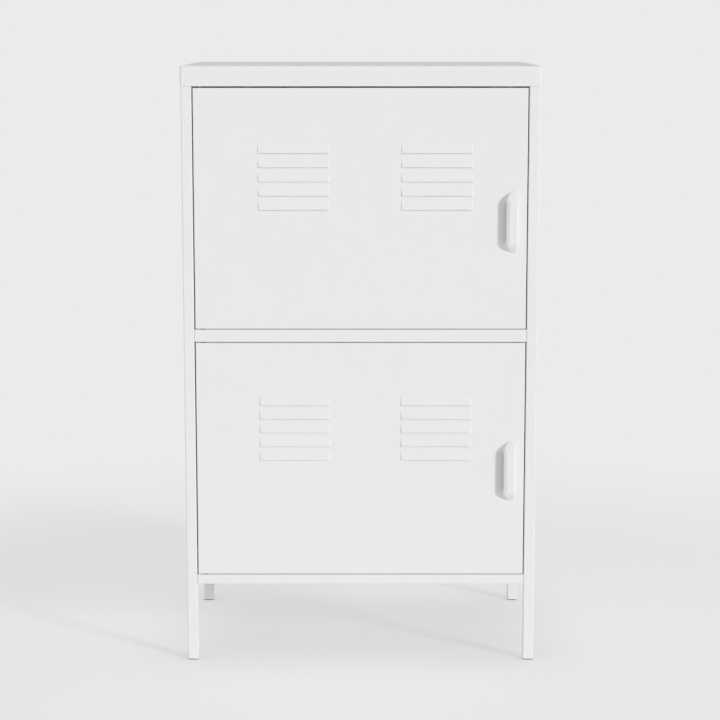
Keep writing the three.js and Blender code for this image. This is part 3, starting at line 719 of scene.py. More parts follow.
def door_handle(low, high, sizes):
    """The cup of a handle: dome, rounded edges, creased hem, wall, finger opening and bosses."""
    middle = (low + high) / 2
    shell = handle_core(low, high, sizes.handle_flat)
    core = copy_of(shell)

    edit(shell)
    remove_faces(lambda face: all_on(face, 1, high.y))
    width = high.x - low.x
    for side, radius in ((1, sizes.handle_latch_radius), (-1, sizes.handle_lip_radius)):
        choose("EDGE", lambda edge: long_edge(edge, side, middle.x, high.y))
        bpy.ops.mesh.bevel(
            offset_type="PERCENT",
            offset_pct=100 * radius / width,
            segments=EDGE_STEPS,
            affect="EDGES",
        )
        width -= radius
    crease = low.x + sizes.handle_hem
    for share in (-GROOVE_FLOOR_SHARE, GROOVE_FLOOR_SHARE, -1, 1):
        cut_across(0, crease + share * sizes.handle_groove / 2)
    choose(
        "VERT",
        lambda corner: abs(corner.co.x - crease) < sizes.handle_groove / 2 - MERGE
        and near(corner.co.y, low.y, sizes.handle_groove / 4)
        and abs(corner.co.z - middle.z) < sizes.handle_flat / 2 + MERGE,
    )
    move(y=sizes.handle_groove * GROOVE_DEPTH_SHARE)
    give_thickness(shell, sizes.handle_wall)

    half_flat = sizes.handle_flat / 2 - FIT_GAP
    lip = low.y + sizes.handle_lip_depth
    opening = box(
        (low.x - CUT_OVERRUN, lip, middle.z - half_flat),
        (middle.x, high.y + CUT_OVERRUN, middle.z + half_flat),
    )
    edit(opening)
    choose("EDGE", lambda edge: all_on(edge, 1, lip) and all_on(edge, 2, edge.verts[0].co.z))
    round_edges(HANDLE_OPENING_RADIUS, EDGE_STEPS)
    combine(shell, "DIFFERENCE", opening)

    edit(core, "SELECT")
    scale(HANDLE_CORE_SHARES, (middle.x, high.y, middle.z))
    for place in screw_places(low, high, sizes):
        boss = rod((place.x, low.y, place.z), (place.x, high.y, place.z), sizes.handle_boss_radius)
        combine(boss, "INTERSECT", copy_of(core))
        combine(shell, "UNION", boss)
        deepest = high.y - sizes.handle_bore_depth
        drill(shell, place, 1, deepest, high.y + CUT_OVERRUN, sizes.handle_screw_hole)
    discard(core)
    return shell


class LOCKER_OT_handles(bpy.types.Operator):
    """Shape one cup handle and give each door a copy"""

    bl_idname = "locker.handles"
    bl_label = "Handles"

    def execute(self, context):
        first_low, first_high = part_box("upper_door_handle")
        pattern = door_handle(first_low, first_high, context.scene.locker_sizes)
        for door in DOORS:
            low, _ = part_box(f"{door}_door_handle")
            cup = copy_of(pattern)
            shift(cup, low - first_low)
            name = f"{door}_door_cup_handle"
            complete(cup, name, f"{door}_door", [f"{door}_door_handle"], "white_paint")
        discard(pattern)
        return {"FINISHED"}


# Posts and foot plugs


def post_tube(low, high, sizes):
    """An open square tube with rounded edges."""
    tube = box(low, high)
    edit(tube)
    remove_faces(lambda face: all_on(face, 2, face.verts[0].co.z))
    choose_uprights()
    round_edges(sizes.post_radius, EDGE_STEPS)
    give_thickness(tube, sizes.post_wall)
    return tube


class LOCKER_OT_posts(bpy.types.Operator):
    """Roll one post tube, copy it to the four corners and drill each for its screws"""

    bl_idname = "locker.posts"
    bl_label = "Posts"

    def execute(self, context):
        sizes = context.scene.locker_sizes
        first_low, first_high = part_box("front_left_post")
        pattern = post_tube(first_low, first_high, sizes)
        for corner in CORNERS:
            low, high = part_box(f"{corner}_post")
            tube = copy_of(pattern)
            shift(tube, low - first_low)
            side = math.copysign(1, low.x)
            outer = low.x if side > 0 else high.x
            start = outer - side * CUT_OVERRUN
            end = outer + side * (sizes.post_wall + CUT_OVERRUN)
            for level in LEVELS:
                _, middle, radius = screw_line(f"{corner}_{level}_screw", 0)
                drill(tube, middle, 0, start, end, radius + sizes.screw_clearance)
            complete(tube, f"{corner}_tube_post", "cabinet", [f"{corner}_post"], "white_paint")
        discard(pattern)
        return {"FINISHED"}


def foot_plug(low, high, sizes):
    """A base under the tube and a hollow stem that is pushed up into it."""
    seat = low.z + sizes.plug_base
    plug = box(low, (high.x, high.y, seat))
    edit(plug)
    choose_uprights()
    round_edges(PLUG_SHOULDER + sizes.plug_edge, FOLD_STEPS)
    choose("FACE", lambda face: all_on(face, 2, seat))
    bpy.ops.mesh.inset(thickness=PLUG_SHOULDER)
    extrude(z=high.z - seat - PLUG_TAPER)
    extrude(z=PLUG_TAPER)
    middle = (low + high) / 2
    taper = 1 - 2 * PLUG_TAPER / (high.x - low.x)
    scale((taper, taper, 1), (middle.x, middle.y, high.z))
    bpy.ops.mesh.inset(thickness=PLUG_WALL)
    extrude(z=seat - high.z)
    choose("EDGE", lambda edge: all_on(edge, 2, low.z))
    round_edges(sizes.plug_edge, SMALL_STEPS)
    deselect()
    return plug


class LOCKER_OT_foot_plugs(bpy.types.Operator):
    """Mould one foot plug and push a copy into each post"""

    bl_idname = "locker.foot_plugs"
    bl_label = "Foot plugs"

    def execute(self, context):
        first_low, first_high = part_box("front_left_foot_plug")
        pattern = foot_plug(first_low, first_high, context.scene.locker_sizes)
        for corner in CORNERS:
            low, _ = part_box(f"{corner}_foot_plug")
            plug = copy_of(pattern)
            shift(plug, low - first_low)
            # The plugs' near-black nylon partly paints the contact shadow under each foot
            complete(plug, f"{corner}_glide_plug", "cabinet", [f"{corner}_foot_plug"], "grey_nylon")
        discard(pattern)
        return {"FINISHED"}


# Cap


def cap_lid(sizes):
    """Round a block's edges, open it below, fold in its flanges and tabs and drill it."""
    low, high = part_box("top_cap")
    front_post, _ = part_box("front_right_post")
    _, rear_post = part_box("rear_right_post")
    half = front_post.x - FIT_GAP
    lid = box(low, high)
    edit(lid)
    remove_faces(lambda face: all_on(face, 2, low.z))
    choose_uprights()
    round_edges(sizes.cap_corner_radius, CORNER_STEPS)
    choose("EDGE", lambda edge: all_on(edge, 2, high.z))
    round_edges(sizes.cap_edge_radius, EDGE_STEPS)
    for side in (-1, 1):
        cut_across(0, side * half)
    flanges = (
        (low.y, front_post.y, 1, sizes.cap_front_flange),
        (high.y, rear_post.y, -1, sizes.cap_rear_flange),
    )
    for wall, seat, inward, depth in flanges:
        choose(
            "EDGE",
            lambda edge: all_on(edge, 1, wall)
            and all_on(edge, 2, low.z)
            and all(abs(corner.co.x) < half + CLOSE for corner in edge.verts),
        )
        extrude(y=seat - wall)
        extrude(y=inward * sizes.tab)
        extrude(y=inward * (depth - sizes.tab))
        tab_end = seat + inward * sizes.tab
        choose(
            "EDGE",
            lambda edge: near(abs(edge.verts[0].co.x), half)
            and near(edge.verts[0].co.x, edge.verts[1].co.x)
            and all_on(edge, 2, low.z)
            and all(near(corner.co.y, seat) or near(corner.co.y, tab_end) for corner in edge.verts),
        )
        extrude(z=sizes.tab)
    give_thickness(lid, sizes.sheet)

    for name in ("upper_door_top_pin", "upper_catch_left_screw", "upper_catch_right_screw"):
        _, middle, radius = screw_line(name, 2)
        start, end = low.z - CUT_OVERRUN, low.z + CUT_OVERRUN
        drill(lid, middle, 2, start, end, radius + sizes.screw_clearance)
    for corner in CORNERS:
        _, middle, radius = screw_line(f"{corner}_cap_screw", 0)
        tab = math.copysign(half, middle.x)
        drill(lid, middle, 0, tab - CUT_OVERRUN, tab + CUT_OVERRUN, radius + sizes.screw_clearance)
    return lid


class LOCKER_OT_cap(bpy.types.Operator):
    """Fold the cap from one sheet and drill its flanges and tabs"""

    bl_idname = "locker.cap"
    bl_label = "Cap"

    def execute(self, context):
        lid = cap_lid(context.scene.locker_sizes)
        complete(lid, "folded_cap", "cabinet", ["top_cap"], "white_paint")
        return {"FINISHED"}


# Screws, pins, bushes and buffers


def turned(rings, sides=ROUND_SIDES):
    """A solid of revolution about Z, from rings of (radius, height) that run upwards."""
    deselect()
    radius, height = rings[0]
    bpy.ops.mesh.primitive_circle_add(
        vertices=sides, radius=radius, fill_type="NGON", location=(0, 0, height)
    )
    piece = bpy.context.object
    keep_place()
    edit(piece, "SELECT")
    for next_radius, next_height in rings[1:]:
        extrude(z=next_height - height)
        share = next_radius / radius
        scale((share, share, 1), (0, 0, next_height))
        radius, height = next_radius, next_height
    choose_all()
    bpy.ops.mesh.normals_make_consistent(inside=False)
    deselect()
    return piece


def stand(piece, place, direction):
    """Turn a piece that was made along Z to a direction and set its origin at a place."""
    pick(piece)
    piece.location = place
    piece.rotation_euler = direction.to_track_quat("Z", "Y").to_euler()
    keep_place()


def stand_at_end(piece, low, high, inward):
    """Stand a piece on the end of its box from which it points inward."""
    place = (low + high) / 2
    place.z = low.z if inward is UP else high.z
    stand(piece, place, inward)


def screw_line(name, axis):
    """Length along an axis, middle and shank radius of a packed screw or pin."""
    low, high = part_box(name)
    shank = next(radius for kind, radius in SHANK_RADII.items() if kind in name)
    return high[axis] - low[axis], (low + high) / 2, shank


def pan_screw(shank, head, head_height, length, sizes):
    """A pan-head screw along Z: the underside of its head at z = 0, its tip at z = length."""
    rim = head_height * SCREW_RIM_SHARE
    pitch, depth = sizes.thread_pitch, sizes.thread_depth
    rings = []
    for share in DOME_SHARES:
        angle = share * math.pi / 2
        rings.append((head * math.sin(angle), -rim - (head_height - rim) * math.cos(angle)))
    rings += [(head, -rim / 2), (head - rim / 4, 0), (shank + depth, 0), (shank, depth)]
    ridge = pitch
    while ridge < length - shank - pitch:
        rings += [(shank, ridge), (shank, ridge + pitch / 4), (shank - depth, ridge + pitch * 5 / 8)]
        ridge += pitch
    rings += [(shank, length - shank), (shank / 4, length)]
    screw = turned(rings, SCREW_SIDES)
    wide, narrow, deep = (head * share for share in RECESS_SHARES)
    floor = deep - head_height
    for x, y in ((wide, narrow), (narrow, wide)):
        slot = box((-x, -y, -head_height - CUT_OVERRUN), (x, y, floor))
        edit(slot)
        choose("FACE", lambda face: all_on(face, 2, floor))
        scale((RECESS_TAPER_SHARE, RECESS_TAPER_SHARE, 1), (0, 0, floor))
        combine(screw, "DIFFERENCE", slot)
    return screw


def place_screws(pattern, names, head_height, direction_of):
    """Copy a screw to each packed one of its kind, and use the pattern up."""
    for name, body in names:
        low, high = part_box(name)
        direction = direction_of(low, high)
        half_length = abs((high - low).dot(direction)) / 2
        screw = copy_of(pattern)
        stand(screw, (low + high) / 2 - direction * (half_length - head_height), direction)
        complete(screw, name.replace("_screw", "_pan_screw"), body, [name], "zinc_plate")
    discard(pattern)


def outward(low, high):
    """Away from the middle of the cabinet, to the side."""
    return Vector((math.copysign(1, low.x + high.x), 0, 0))


class LOCKER_OT_screws(bpy.types.Operator):
    """Turn one screw of each size and drive a copy into each screw's place"""

    bl_idname = "locker.screws"
    bl_label = "Screws"

    def execute(self, context):
        sizes = context.scene.locker_sizes
        frame_names = [(f"{corner}_{level}_screw", "cabinet") for corner in CORNERS for level in LEVELS]
        handle_names = [
            (f"{door}_handle_{end}_screw", f"{door}_door") for door in DOORS for end in ("bottom", "top")
        ]
        catch_names = [
            (f"{door}_catch_{side}_screw", "cabinet") for door in DOORS for side in ("left", "right")
        ]
        kinds = (
            (frame_names, FRAME_HEAD, 0, outward),
            (handle_names, FRAME_HEAD, 1, lambda low, high: FORWARD),
            (catch_names, CATCH_HEAD, 2, lambda low, high: UP),
        )
        for names, (head, head_height), axis, direction_of in kinds:
            length, _, shank = screw_line(names[0][0], axis)
            pattern = pan_screw(shank, head, head_height, length - head_height, sizes)
            place_screws(pattern, names, head_height, direction_of)
        return {"FINISHED"}


def pivot_pin(name, inward):
    """Turn a pin with a rounded head and a tapered tip."""
    low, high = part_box(name)
    head, length = (high.x - low.x) / 2, high.z - low.z
    shank = SHANK_RADII["pin"]
    edge = PIN_HEAD * PIN_EDGE_SHARE
    rings = [
        (head - 2 * edge, 0),
        (head - edge, edge / 4),
        (head, edge),
        (head, PIN_HEAD - edge / 2),
        (head - edge / 2, PIN_HEAD),
        (shank, PIN_HEAD),
        (shank, length - PIN_CHAMFER),
        (shank - PIN_CHAMFER / 3, length - PIN_CHAMFER / 3),
        (shank - PIN_CHAMFER, length),
    ]
    piece = turned(rings)
    stand_at_end(piece, low, high, inward)
    complete(piece, f"{name.removesuffix('_pin')}_pivot_pin", "cabinet", [name], "zinc_plate")


def pivot_bush(name, body, inward):
    """Turn a bush with a thin collar and bore it for its pin."""
    low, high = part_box(name)
    collar, length = (high.x - low.x) / 2, high.z - low.z
    edge = BUSH_COLLAR / 4
    rings = [
        (collar - edge, 0),
        (collar, edge),
        (collar, BUSH_COLLAR - edge),
        (collar - edge, BUSH_COLLAR),
        (BUSH_RADIUS, BUSH_COLLAR),
        (BUSH_RADIUS, length - 2 * edge),
        (BUSH_RADIUS - edge, length),
    ]
    piece = turned(rings)
    drill(piece, Vector(), 2, -CUT_OVERRUN, length + CUT_OVERRUN, BUSH_BORE)
    stand_at_end(piece, low, high, inward)
    complete(piece, f"{name.removesuffix('_bush')}_pivot_bush", body, [name], "grey_nylon")


class LOCKER_OT_pins(bpy.types.Operator):
    """Turn the pivot pins and their bushes, a pair at the top and the bottom of each door"""

    bl_idname = "locker.pins"
    bl_label = "Pins and bushes"

    def execute(self, context):
        for door in DOORS:
            for end, inward in (("bottom", UP), ("top", DOWN)):
                pivot_pin(f"{door}_door_{end}_pin", inward)
                pivot_bush(f"{door}_door_{end}_bush", f"{door}_door", inward)
        return {"FINISHED"}


class LOCKER_OT_buffers(bpy.types.Operator):
    """Mould one rubber buffer and press a copy into each hole of the stop strips"""

    bl_idname = "locker.buffers"
    bl_label = "Buffers"

    def execute(self, context):
        names = [f"{door}_door_{end}_buffer" for door in DOORS for end in ("bottom", "top")]
        low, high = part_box(names[0])
        radius, length = (high.x - low.x) / 2, high.y - low.y
        rings = [
            (BUFFER_STEM * 3 / 4, 0),
            (BUFFER_BARB, BUFFER_BARB_LENGTH),
            (BUFFER_STEM, BUFFER_BARB_LENGTH),
            (BUFFER_STEM, BUFFER_SEAT),
            (radius - BUFFER_DOME / 4, BUFFER_SEAT),
            (radius, BUFFER_SEAT + BUFFER_DOME / 4),
        ]
        for share in DOME_SHARES[::-1]:
            angle = share * math.pi / 2
            rings.append((radius * math.sin(angle), length - BUFFER_DOME * (1 - math.cos(angle))))
        pattern = turned(rings)
        for name in names:
            low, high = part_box(name)
            middle = (low + high) / 2
            piece = copy_of(pattern)
            stand(piece, Vector((middle.x, high.y, middle.z)), FORWARD)
            new_name = name.replace("_buffer", "_rubber_buffer")
            complete(piece, new_name, "cabinet", [name], "dark_rubber")
        discard(pattern)
        return {"FINISHED"}


# Magnetic catches


def catch_housing(door, sizes):
    """A rounded block with a pocket for the magnet and two sunk screw holes."""
    low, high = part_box(f"{door}_catch_housing")
    magnet_low, magnet_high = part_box(f"{door}_catch_magnet")
    head, head_height = CATCH_HEAD
    housing = box(low, high)
    edit(housing)
    choose_uprights()
    round_edges(CATCH_CORNER, EDGE_STEPS)
    choose("EDGE", lambda edge: all_on(edge, 2, low.z) or all_on(edge, 2, high.z))
    round_edges(CATCH_EDGE, SMALL_STEPS)
    pocket = box(
        (magnet_low.x - FIT_GAP, low.y - CUT_OVERRUN, magnet_low.z - FIT_GAP),
        (magnet_high.x + FIT_GAP, magnet_high.y + FIT_GAP, magnet_high.z + FIT_GAP),
    )
    combine(housing, "DIFFERENCE", pocket)
    below = low.z - CUT_OVERRUN
    for side in ("left", "right"):
        _, middle, radius = screw_line(f"{door}_catch_{side}_screw", 2)
        drill(housing, middle, 2, below, high.z + CUT_OVERRUN, radius + sizes.screw_clearance)
        drill(housing, middle, 2, below, low.z + head_height, head + sizes.screw_clearance)
    return housing


def catch_magnet(door):
    """A magnet between two steel cheeks that stand a little proud of it."""
    low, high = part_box(f"{door}_catch_magnet")
    middle = (low.z + high.z) / 2
    magnet = box(low, high)
    edit(magnet)
    for side in (-1, 1):
        cut_across(2, middle + side * MAGNET_HALF)
    choose(
        "FACE",
        lambda face: all_on(face, 1, low.y)
        and all(abs(corner.co.z - middle) < MAGNET_HALF + CLOSE for corner in face.verts),
    )
    bpy.ops.mesh.inset(thickness=MAGNET_RECESS, use_boundary=True)
    extrude(y=MAGNET_RECESS)
    deselect()
    return magnet


class LOCKER_OT_catches(bpy.types.Operator):
    """Mould the catch housings and set a cheeked magnet in each"""

    bl_idname = "locker.catches"
    bl_label = "Magnetic catches"

    def execute(self, context):
        for door in DOORS:
            housing = catch_housing(door, context.scene.locker_sizes)
            name = f"{door}_catch_moulded_housing"
            complete(housing, name, "cabinet", [f"{door}_catch_housing"], "white_plastic")
            magnet = catch_magnet(door)
            name = f"{door}_catch_cheeked_magnet"
            complete(magnet, name, "cabinet", [f"{door}_catch_magnet"], "magnet_steel")
        return {"FINISHED"}


# Finishes

# How each finish looks: grain per metre, specks in it, change of tone, roughness and its change,
# width of the rubbed edges, gaps in them and how far they show, dust, and bump and its depth
PAINT_LOOK = {
    "grain": 650.0,
    "speck": 0.35,
    "tone": 0.025,
    "roughness": 0.46,
    "roughness_change": 0.05,
    "edge": 0.0006,
    "gaps": 0.2,
    "wear": 0.25,
    "dust": 0.06,
    "bump": 0.5,
    "depth": 0.00003,
    "metallic": 0,
}
SMALL_PART_LOOK = {
    "edge": 0.0004,
    "gaps": 0.5,
    "wear": 0.3,
    "dust": 0.1,
    "bump": 0.6,
    "depth": 0.00004,
    "metallic": 0,
}

# Small parts by slot: the material's name, its colour in LockerFinishes, the colour where it is
# worn, and what sets it apart from SMALL_PART_LOOK
SMALL_PART_FINISHES = {
    "zinc_plate": (
        "Zinc plate",
        "zinc",
        (0.7, 0.7, 0.7),
        {
            "grain": 1400.0,
            "speck": 0.5,
            "tone": 0.3,
            "roughness": 0.32,
            "roughness_change": 0.1,
            "metallic": 1,
        },
    ),
    "white_plastic": (
        "White plastic",
        "plastic",
        (0.8, 0.8, 0.78),
        {"grain": 1800.0, "speck": 0.2, "tone": 0.04, "roughness": 0.48, "roughness_change": 0.08},
    ),
    # Its near-black colour is partly painted shade on the foot plugs, standing in for the contact shadow
    # under each foot
    "grey_nylon": (
        "Grey nylon",
        "nylon",
        (0.16, 0.16, 0.17),
        {"grain": 1500.0, "speck": 0.3, "tone": 0.15, "roughness": 0.5, "roughness_change": 0.1},
    ),
    "dark_rubber": (
        "Dark rubber",
        "rubber",
        (0.07, 0.07, 0.07),
        {"grain": 1100.0, "speck": 0.5, "tone": 0.3, "roughness": 0.75, "roughness_change": 0.1},
    ),
    "magnet_steel": (
        "Magnet steel",
        "magnet",
        (0.5, 0.5, 0.5),
        {
            "grain": 900.0,
            "speck": 0.6,
            "tone": 0.35,
            "roughness": 0.42,
            "roughness_change": 0.14,
            "metallic": 1,
        },
    ),
}


def effect_group(name, inputs, outputs):
    """An empty effect with its named inputs and outputs: (group, its input node, its output node)."""
    group = bpy.data.node_groups.new(name, "ShaderNodeTree")
    for label, kind, default in inputs:
        socket = group.interface.new_socket(name=label, in_out="INPUT", socket_type=kind)
        socket.default_value = default
    for label, kind in outputs:
        group.interface.new_socket(name=label, in_out="OUTPUT", socket_type=kind)
    return group, group.nodes.new("NodeGroupInput"), group.nodes.new("NodeGroupOutput")


def node(tree, kind, links=(), **settings):
    """Add a node, set its own settings and its sockets' values, and link its inputs."""
    made = tree.nodes.new(kind)
    for name, value in settings.items():
        setattr(made, name, value)
    for name, value in dict(links).items():
        if isinstance(value, bpy.types.NodeSocket):
            tree.links.new(value, made.inputs[name])
        else:
            made.inputs[name].default_value = value
    return made


def math_node(tree, operation, *values, clamp=False):
    links = dict(enumerate(values))
    return node(tree, "ShaderNodeMath", links, operation=operation, use_clamp=clamp).outputs[0]


def tinted(tree, colour, share):
    """A colour times a share of it."""
    return node(tree, "ShaderNodeVectorMath", {0: colour, 1: share}, operation="MULTIPLY").outputs[0]


def mix_colour(tree, factor, first, second):
    made = node(tree, "ShaderNodeMix", data_type="RGBA")
    sockets = {socket.identifier: socket for socket in made.inputs}
    for key, value in (("Factor_Float", factor), ("A_Color", first), ("B_Color", second)):
        if isinstance(value, bpy.types.NodeSocket):
            tree.links.new(value, sockets[key])
        else:
            sockets[key].default_value = (*value, 1)
    return next(socket for socket in made.outputs if socket.identifier == "Result_Color")


def noise(tree, place, size, detail, roughness=0.5):
    """Noise whose features are about this size in metres, or a linked scale."""
    scale_value = size if isinstance(size, bpy.types.NodeSocket) else 1 / size
    return node(
        tree,
        "ShaderNodeTexNoise",
        {"Vector": place, "Scale": scale_value, "Detail": detail, "Roughness": roughness},
    ).outputs["Fac"]


def spread(tree, value, low, high):
    """Map the middle of a noise's range to low..high."""
    first, last = NOISE_MIDDLE
    links = {"Value": value, "From Min": first, "From Max": last, "To Min": low, "To Max": high}
    return node(tree, "ShaderNodeMapRange", links).outputs["Result"]


def object_place(tree):
    return node(tree, "ShaderNodeTexCoord").outputs["Object"]


def surface_grain():
    """Grain of a coated or moulded surface: tone, roughness and height that change over it."""
    found = bpy.data.node_groups.get("Surface grain")
    if found:
        return found
    group, given, result = effect_group(
        "Surface grain",
        [
            ("Color", "NodeSocketColor", (0.8, 0.8, 0.8, 1)),
            ("Grain per metre", "NodeSocketFloat", 600.0),
            ("Speck", "NodeSocketFloat", 0.3),
            ("Tone change", "NodeSocketFloat", 0.02),
            ("Roughness", "NodeSocketFloat", 0.4),
            ("Roughness change", "NodeSocketFloat", 0.06),
        ],
        [("Color", "NodeSocketColor"), ("Roughness", "NodeSocketFloat"), ("Height", "NodeSocketFloat")],
    )
    place = object_place(group)
    grain = given.outputs["Grain per metre"]
    peel = noise(group, place, grain, 1.5, 0.45)
    fine = noise(group, place, math_node(group, "MULTIPLY", grain, FINE_GRAIN_RATIO), 2, 0.6)
    specks = math_node(group, "MULTIPLY", fine, given.outputs["Speck"])
    height = math_node(group, "ADD", peel, specks)
    cloud = noise(group, place, CLOUD_SIZE, 3, 0.55)
    patch = noise(group, place, PATCH_SIZE, 4, 0.6)
    clouds = math_node(group, "MULTIPLY", cloud, CLOUD_SHARE)
    patches = math_node(group, "MULTIPLY", patch, 1 - CLOUD_SHARE)
    centred = math_node(group, "SUBTRACT", math_node(group, "ADD", clouds, patches), 0.5)
    gain = math_node(group, "MULTIPLY_ADD", centred, given.outputs["Tone change"], 1.0)
    streak = spread(group, patch, -1, 1)
    change, plain = given.outputs["Roughness change"], given.outputs["Roughness"]
    rough = math_node(group, "MULTIPLY_ADD", streak, change, plain, clamp=True)
    group.links.new(tinted(group, given.outputs["Color"], gain), result.inputs["Color"])
    group.links.new(rough, result.inputs["Roughness"])
    group.links.new(height, result.inputs["Height"])
    return group


def edge_wear():
    """Mask of rubbed edges: where the rounded normal leaves the face's own, broken up by noise."""
    found = bpy.data.node_groups.get("Edge wear")
    if found:
        return found
    group, given, result = effect_group(
        "Edge wear",
        [("Width", "NodeSocketFloat", 0.001), ("Gaps", "NodeSocketFloat", 0.5)],
        [("Mask", "NodeSocketFloat"), ("Normal", "NodeSocketVector")],
    )
    bevel = node(group, "ShaderNodeBevel", {"Radius": given.outputs["Width"]}, samples=EDGE_SAMPLES)
    flat = node(group, "ShaderNodeNewGeometry").outputs["Normal"]
    normals = {0: bevel.outputs[0], 1: flat}
    alike = node(group, "ShaderNodeVectorMath", normals, operation="DOT_PRODUCT").outputs["Value"]
    turn = math_node(group, "SUBTRACT", 1.0, alike)
    edge = math_node(group, "MULTIPLY", turn, EDGE_GAIN, clamp=True)
    broken = spread(group, noise(group, object_place(group), WEAR_SIZE, 4, 0.65), 0, WEAR_SPREAD)
    kept = math_node(group, "SUBTRACT", broken, given.outputs["Gaps"], clamp=True)
    group.links.new(math_node(group, "MULTIPLY", edge, kept, clamp=True), result.inputs["Mask"])
    group.links.new(bevel.outputs[0], result.inputs["Normal"])
    return group


def settled_dust():
    """Mask of thin dust on faces that look up."""
    found = bpy.data.node_groups.get("Settled dust")
    if found:
        return found
    group, given, result = effect_group(
        "Settled dust", [("Amount", "NodeSocketFloat", 0.2)], [("Mask", "NodeSocketFloat")]
    )
    normal = node(group, "ShaderNodeNewGeometry").outputs["Normal"]
    facing = node(group, "ShaderNodeSeparateXYZ", {0: normal}).outputs[2]
    flatness = math_node(group, "POWER", math_node(group, "MAXIMUM", facing, 0.0), DUST_POWER)
    clumps = spread(group, noise(group, object_place(group), DUST_SIZE, 5, 0.7), 0, 1)
    settled = math_node(group, "MULTIPLY", flatness, clumps)
    mask = math_node(group, "MULTIPLY", settled, given.outputs["Amount"], clamp=True)
    group.links.new(mask, result.inputs["Mask"])
    return group


def place_group(tree, group, **values):
    """Place an effect with its own values; a name's underscores are its input's spaces."""
    made = node(tree, "ShaderNodeGroup", node_tree=group)
    for name, value in values.items():
        made.inputs[name.replace("_", " ")].default_value = value
    return made


def coated_material(name, colour, under, look):
    """A surface with grain, worn edges and dust. look holds its own values."""
    found = bpy.data.materials.get(name)
    if found:
        return found
    material = bpy.data.materials.new(name)
    material.use_nodes = True
    tree = material.node_tree
    surface = tree.nodes["Principled BSDF"]
    grain = place_group(
        tree,
        surface_grain(),
        Color=(*colour, 1),
        Grain_per_metre=look["grain"],
        Speck=look["speck"],
        Tone_change=look["tone"],
        Roughness=look["roughness"],
        Roughness_change=look["roughness_change"],
    )
    wear = place_group(tree, edge_wear(), Width=look["edge"], Gaps=look["gaps"])
    dust = place_group(tree, settled_dust(), Amount=look["dust"])
    rubbed = math_node(tree, "MULTIPLY", wear.outputs["Mask"], look["wear"])
    worn = mix_colour(tree, rubbed, grain.outputs["Color"], under)
    settled, plain = dust.outputs["Mask"], grain.outputs["Roughness"]
    dusty = mix_colour(tree, settled, worn, DUST_COLOUR)
    rough = math_node(tree, "MULTIPLY_ADD", settled, DUST_ROUGHNESS, plain, clamp=True)
    bump = node(
        tree,
        "ShaderNodeBump",
        {
            "Height": grain.outputs["Height"],
            "Strength": look["bump"],
            "Distance": look["depth"],
            "Normal": wear.outputs["Normal"],
        },
    )
    tree.links.new(dusty, surface.inputs["Base Color"])
    tree.links.new(rough, surface.inputs["Roughness"])
    tree.links.new(bump.outputs["Normal"], surface.inputs["Normal"])
    surface.inputs["Metallic"].default_value = look["metallic"]
    return material


def slot_materials():
    """The finish of each of the frame's material slots."""
    finishes = bpy.context.scene.locker_finishes
    paint = coated_material("White powder coat", finishes.paint, finishes.primer, PAINT_LOOK)
    materials = {"white_paint": paint}
    for slot, (name, colour, under, own_look) in SMALL_PART_FINISHES.items():
        look = {**SMALL_PART_LOOK, **own_look}
        materials[slot] = coated_material(name, getattr(finishes, colour), under, look)
    return materials


class LOCKER_OT_finishes(bpy.types.Operator):
    """Give every part that is shown as it was packed its finish"""

    bl_idname = "locker.finishes"
    bl_label = "Finishes"

    def execute(self, context):
        materials = slot_materials()
        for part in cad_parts.values():
            packed = part.data.materials[0].name.split(".")[0]
            part.data.materials[0] = materials[packed]
        return {"FINISHED"}


# Stage


def lamp(name, aside, up, softness, strength):
    """A distant lamp that surfaces don't mirror, by its angles beside the camera and above the floor."""
    level = math.cos(up)
    towards = Vector((math.sin(aside) * level, -math.cos(aside) * level, math.sin(up)))
    deselect()
    bpy.ops.object.light_add(type="SUN", location=towards * LAMP_DISTANCE)
    made = bpy.context.object
    made.name = name
    made.data.angle = softness
    made.data.energy = strength
    made.rotation_euler = towards.to_track_quat("Z", "Y").to_euler()
    made.visible_glossy = False


def seen_ray(tree):
    """1 where the camera, a reflection or a see-through surface looks."""
    ray = node(tree, "ShaderNodeLightPath").outputs
    first = math_node(tree, "MAXIMUM", ray["Is Camera Ray"], ray["Is Glossy Ray"])
    return math_node(tree, "MAXIMUM", first, ray["Is Transmission Ray"])


def diffuse(tree, colour):
    return node(tree, "ShaderNodeBsdfDiffuse", {"Color": colour}).outputs[0]


def emission(tree, colour, strength):
    return node(tree, "ShaderNodeEmission", {"Color": colour, "Strength": strength}).outputs[0]


def background(tree, colour, strength):
    return node(tree, "ShaderNodeBackground", {"Color": colour, "Strength": strength}).outputs[0]


def added(tree, first, second):
    return node(tree, "ShaderNodeAddShader", {0: first, 1: second}).outputs[0]


def mixed(tree, share, first, second):
    return node(tree, "ShaderNodeMixShader", {0: share, 1: first, 2: second}).outputs[0]


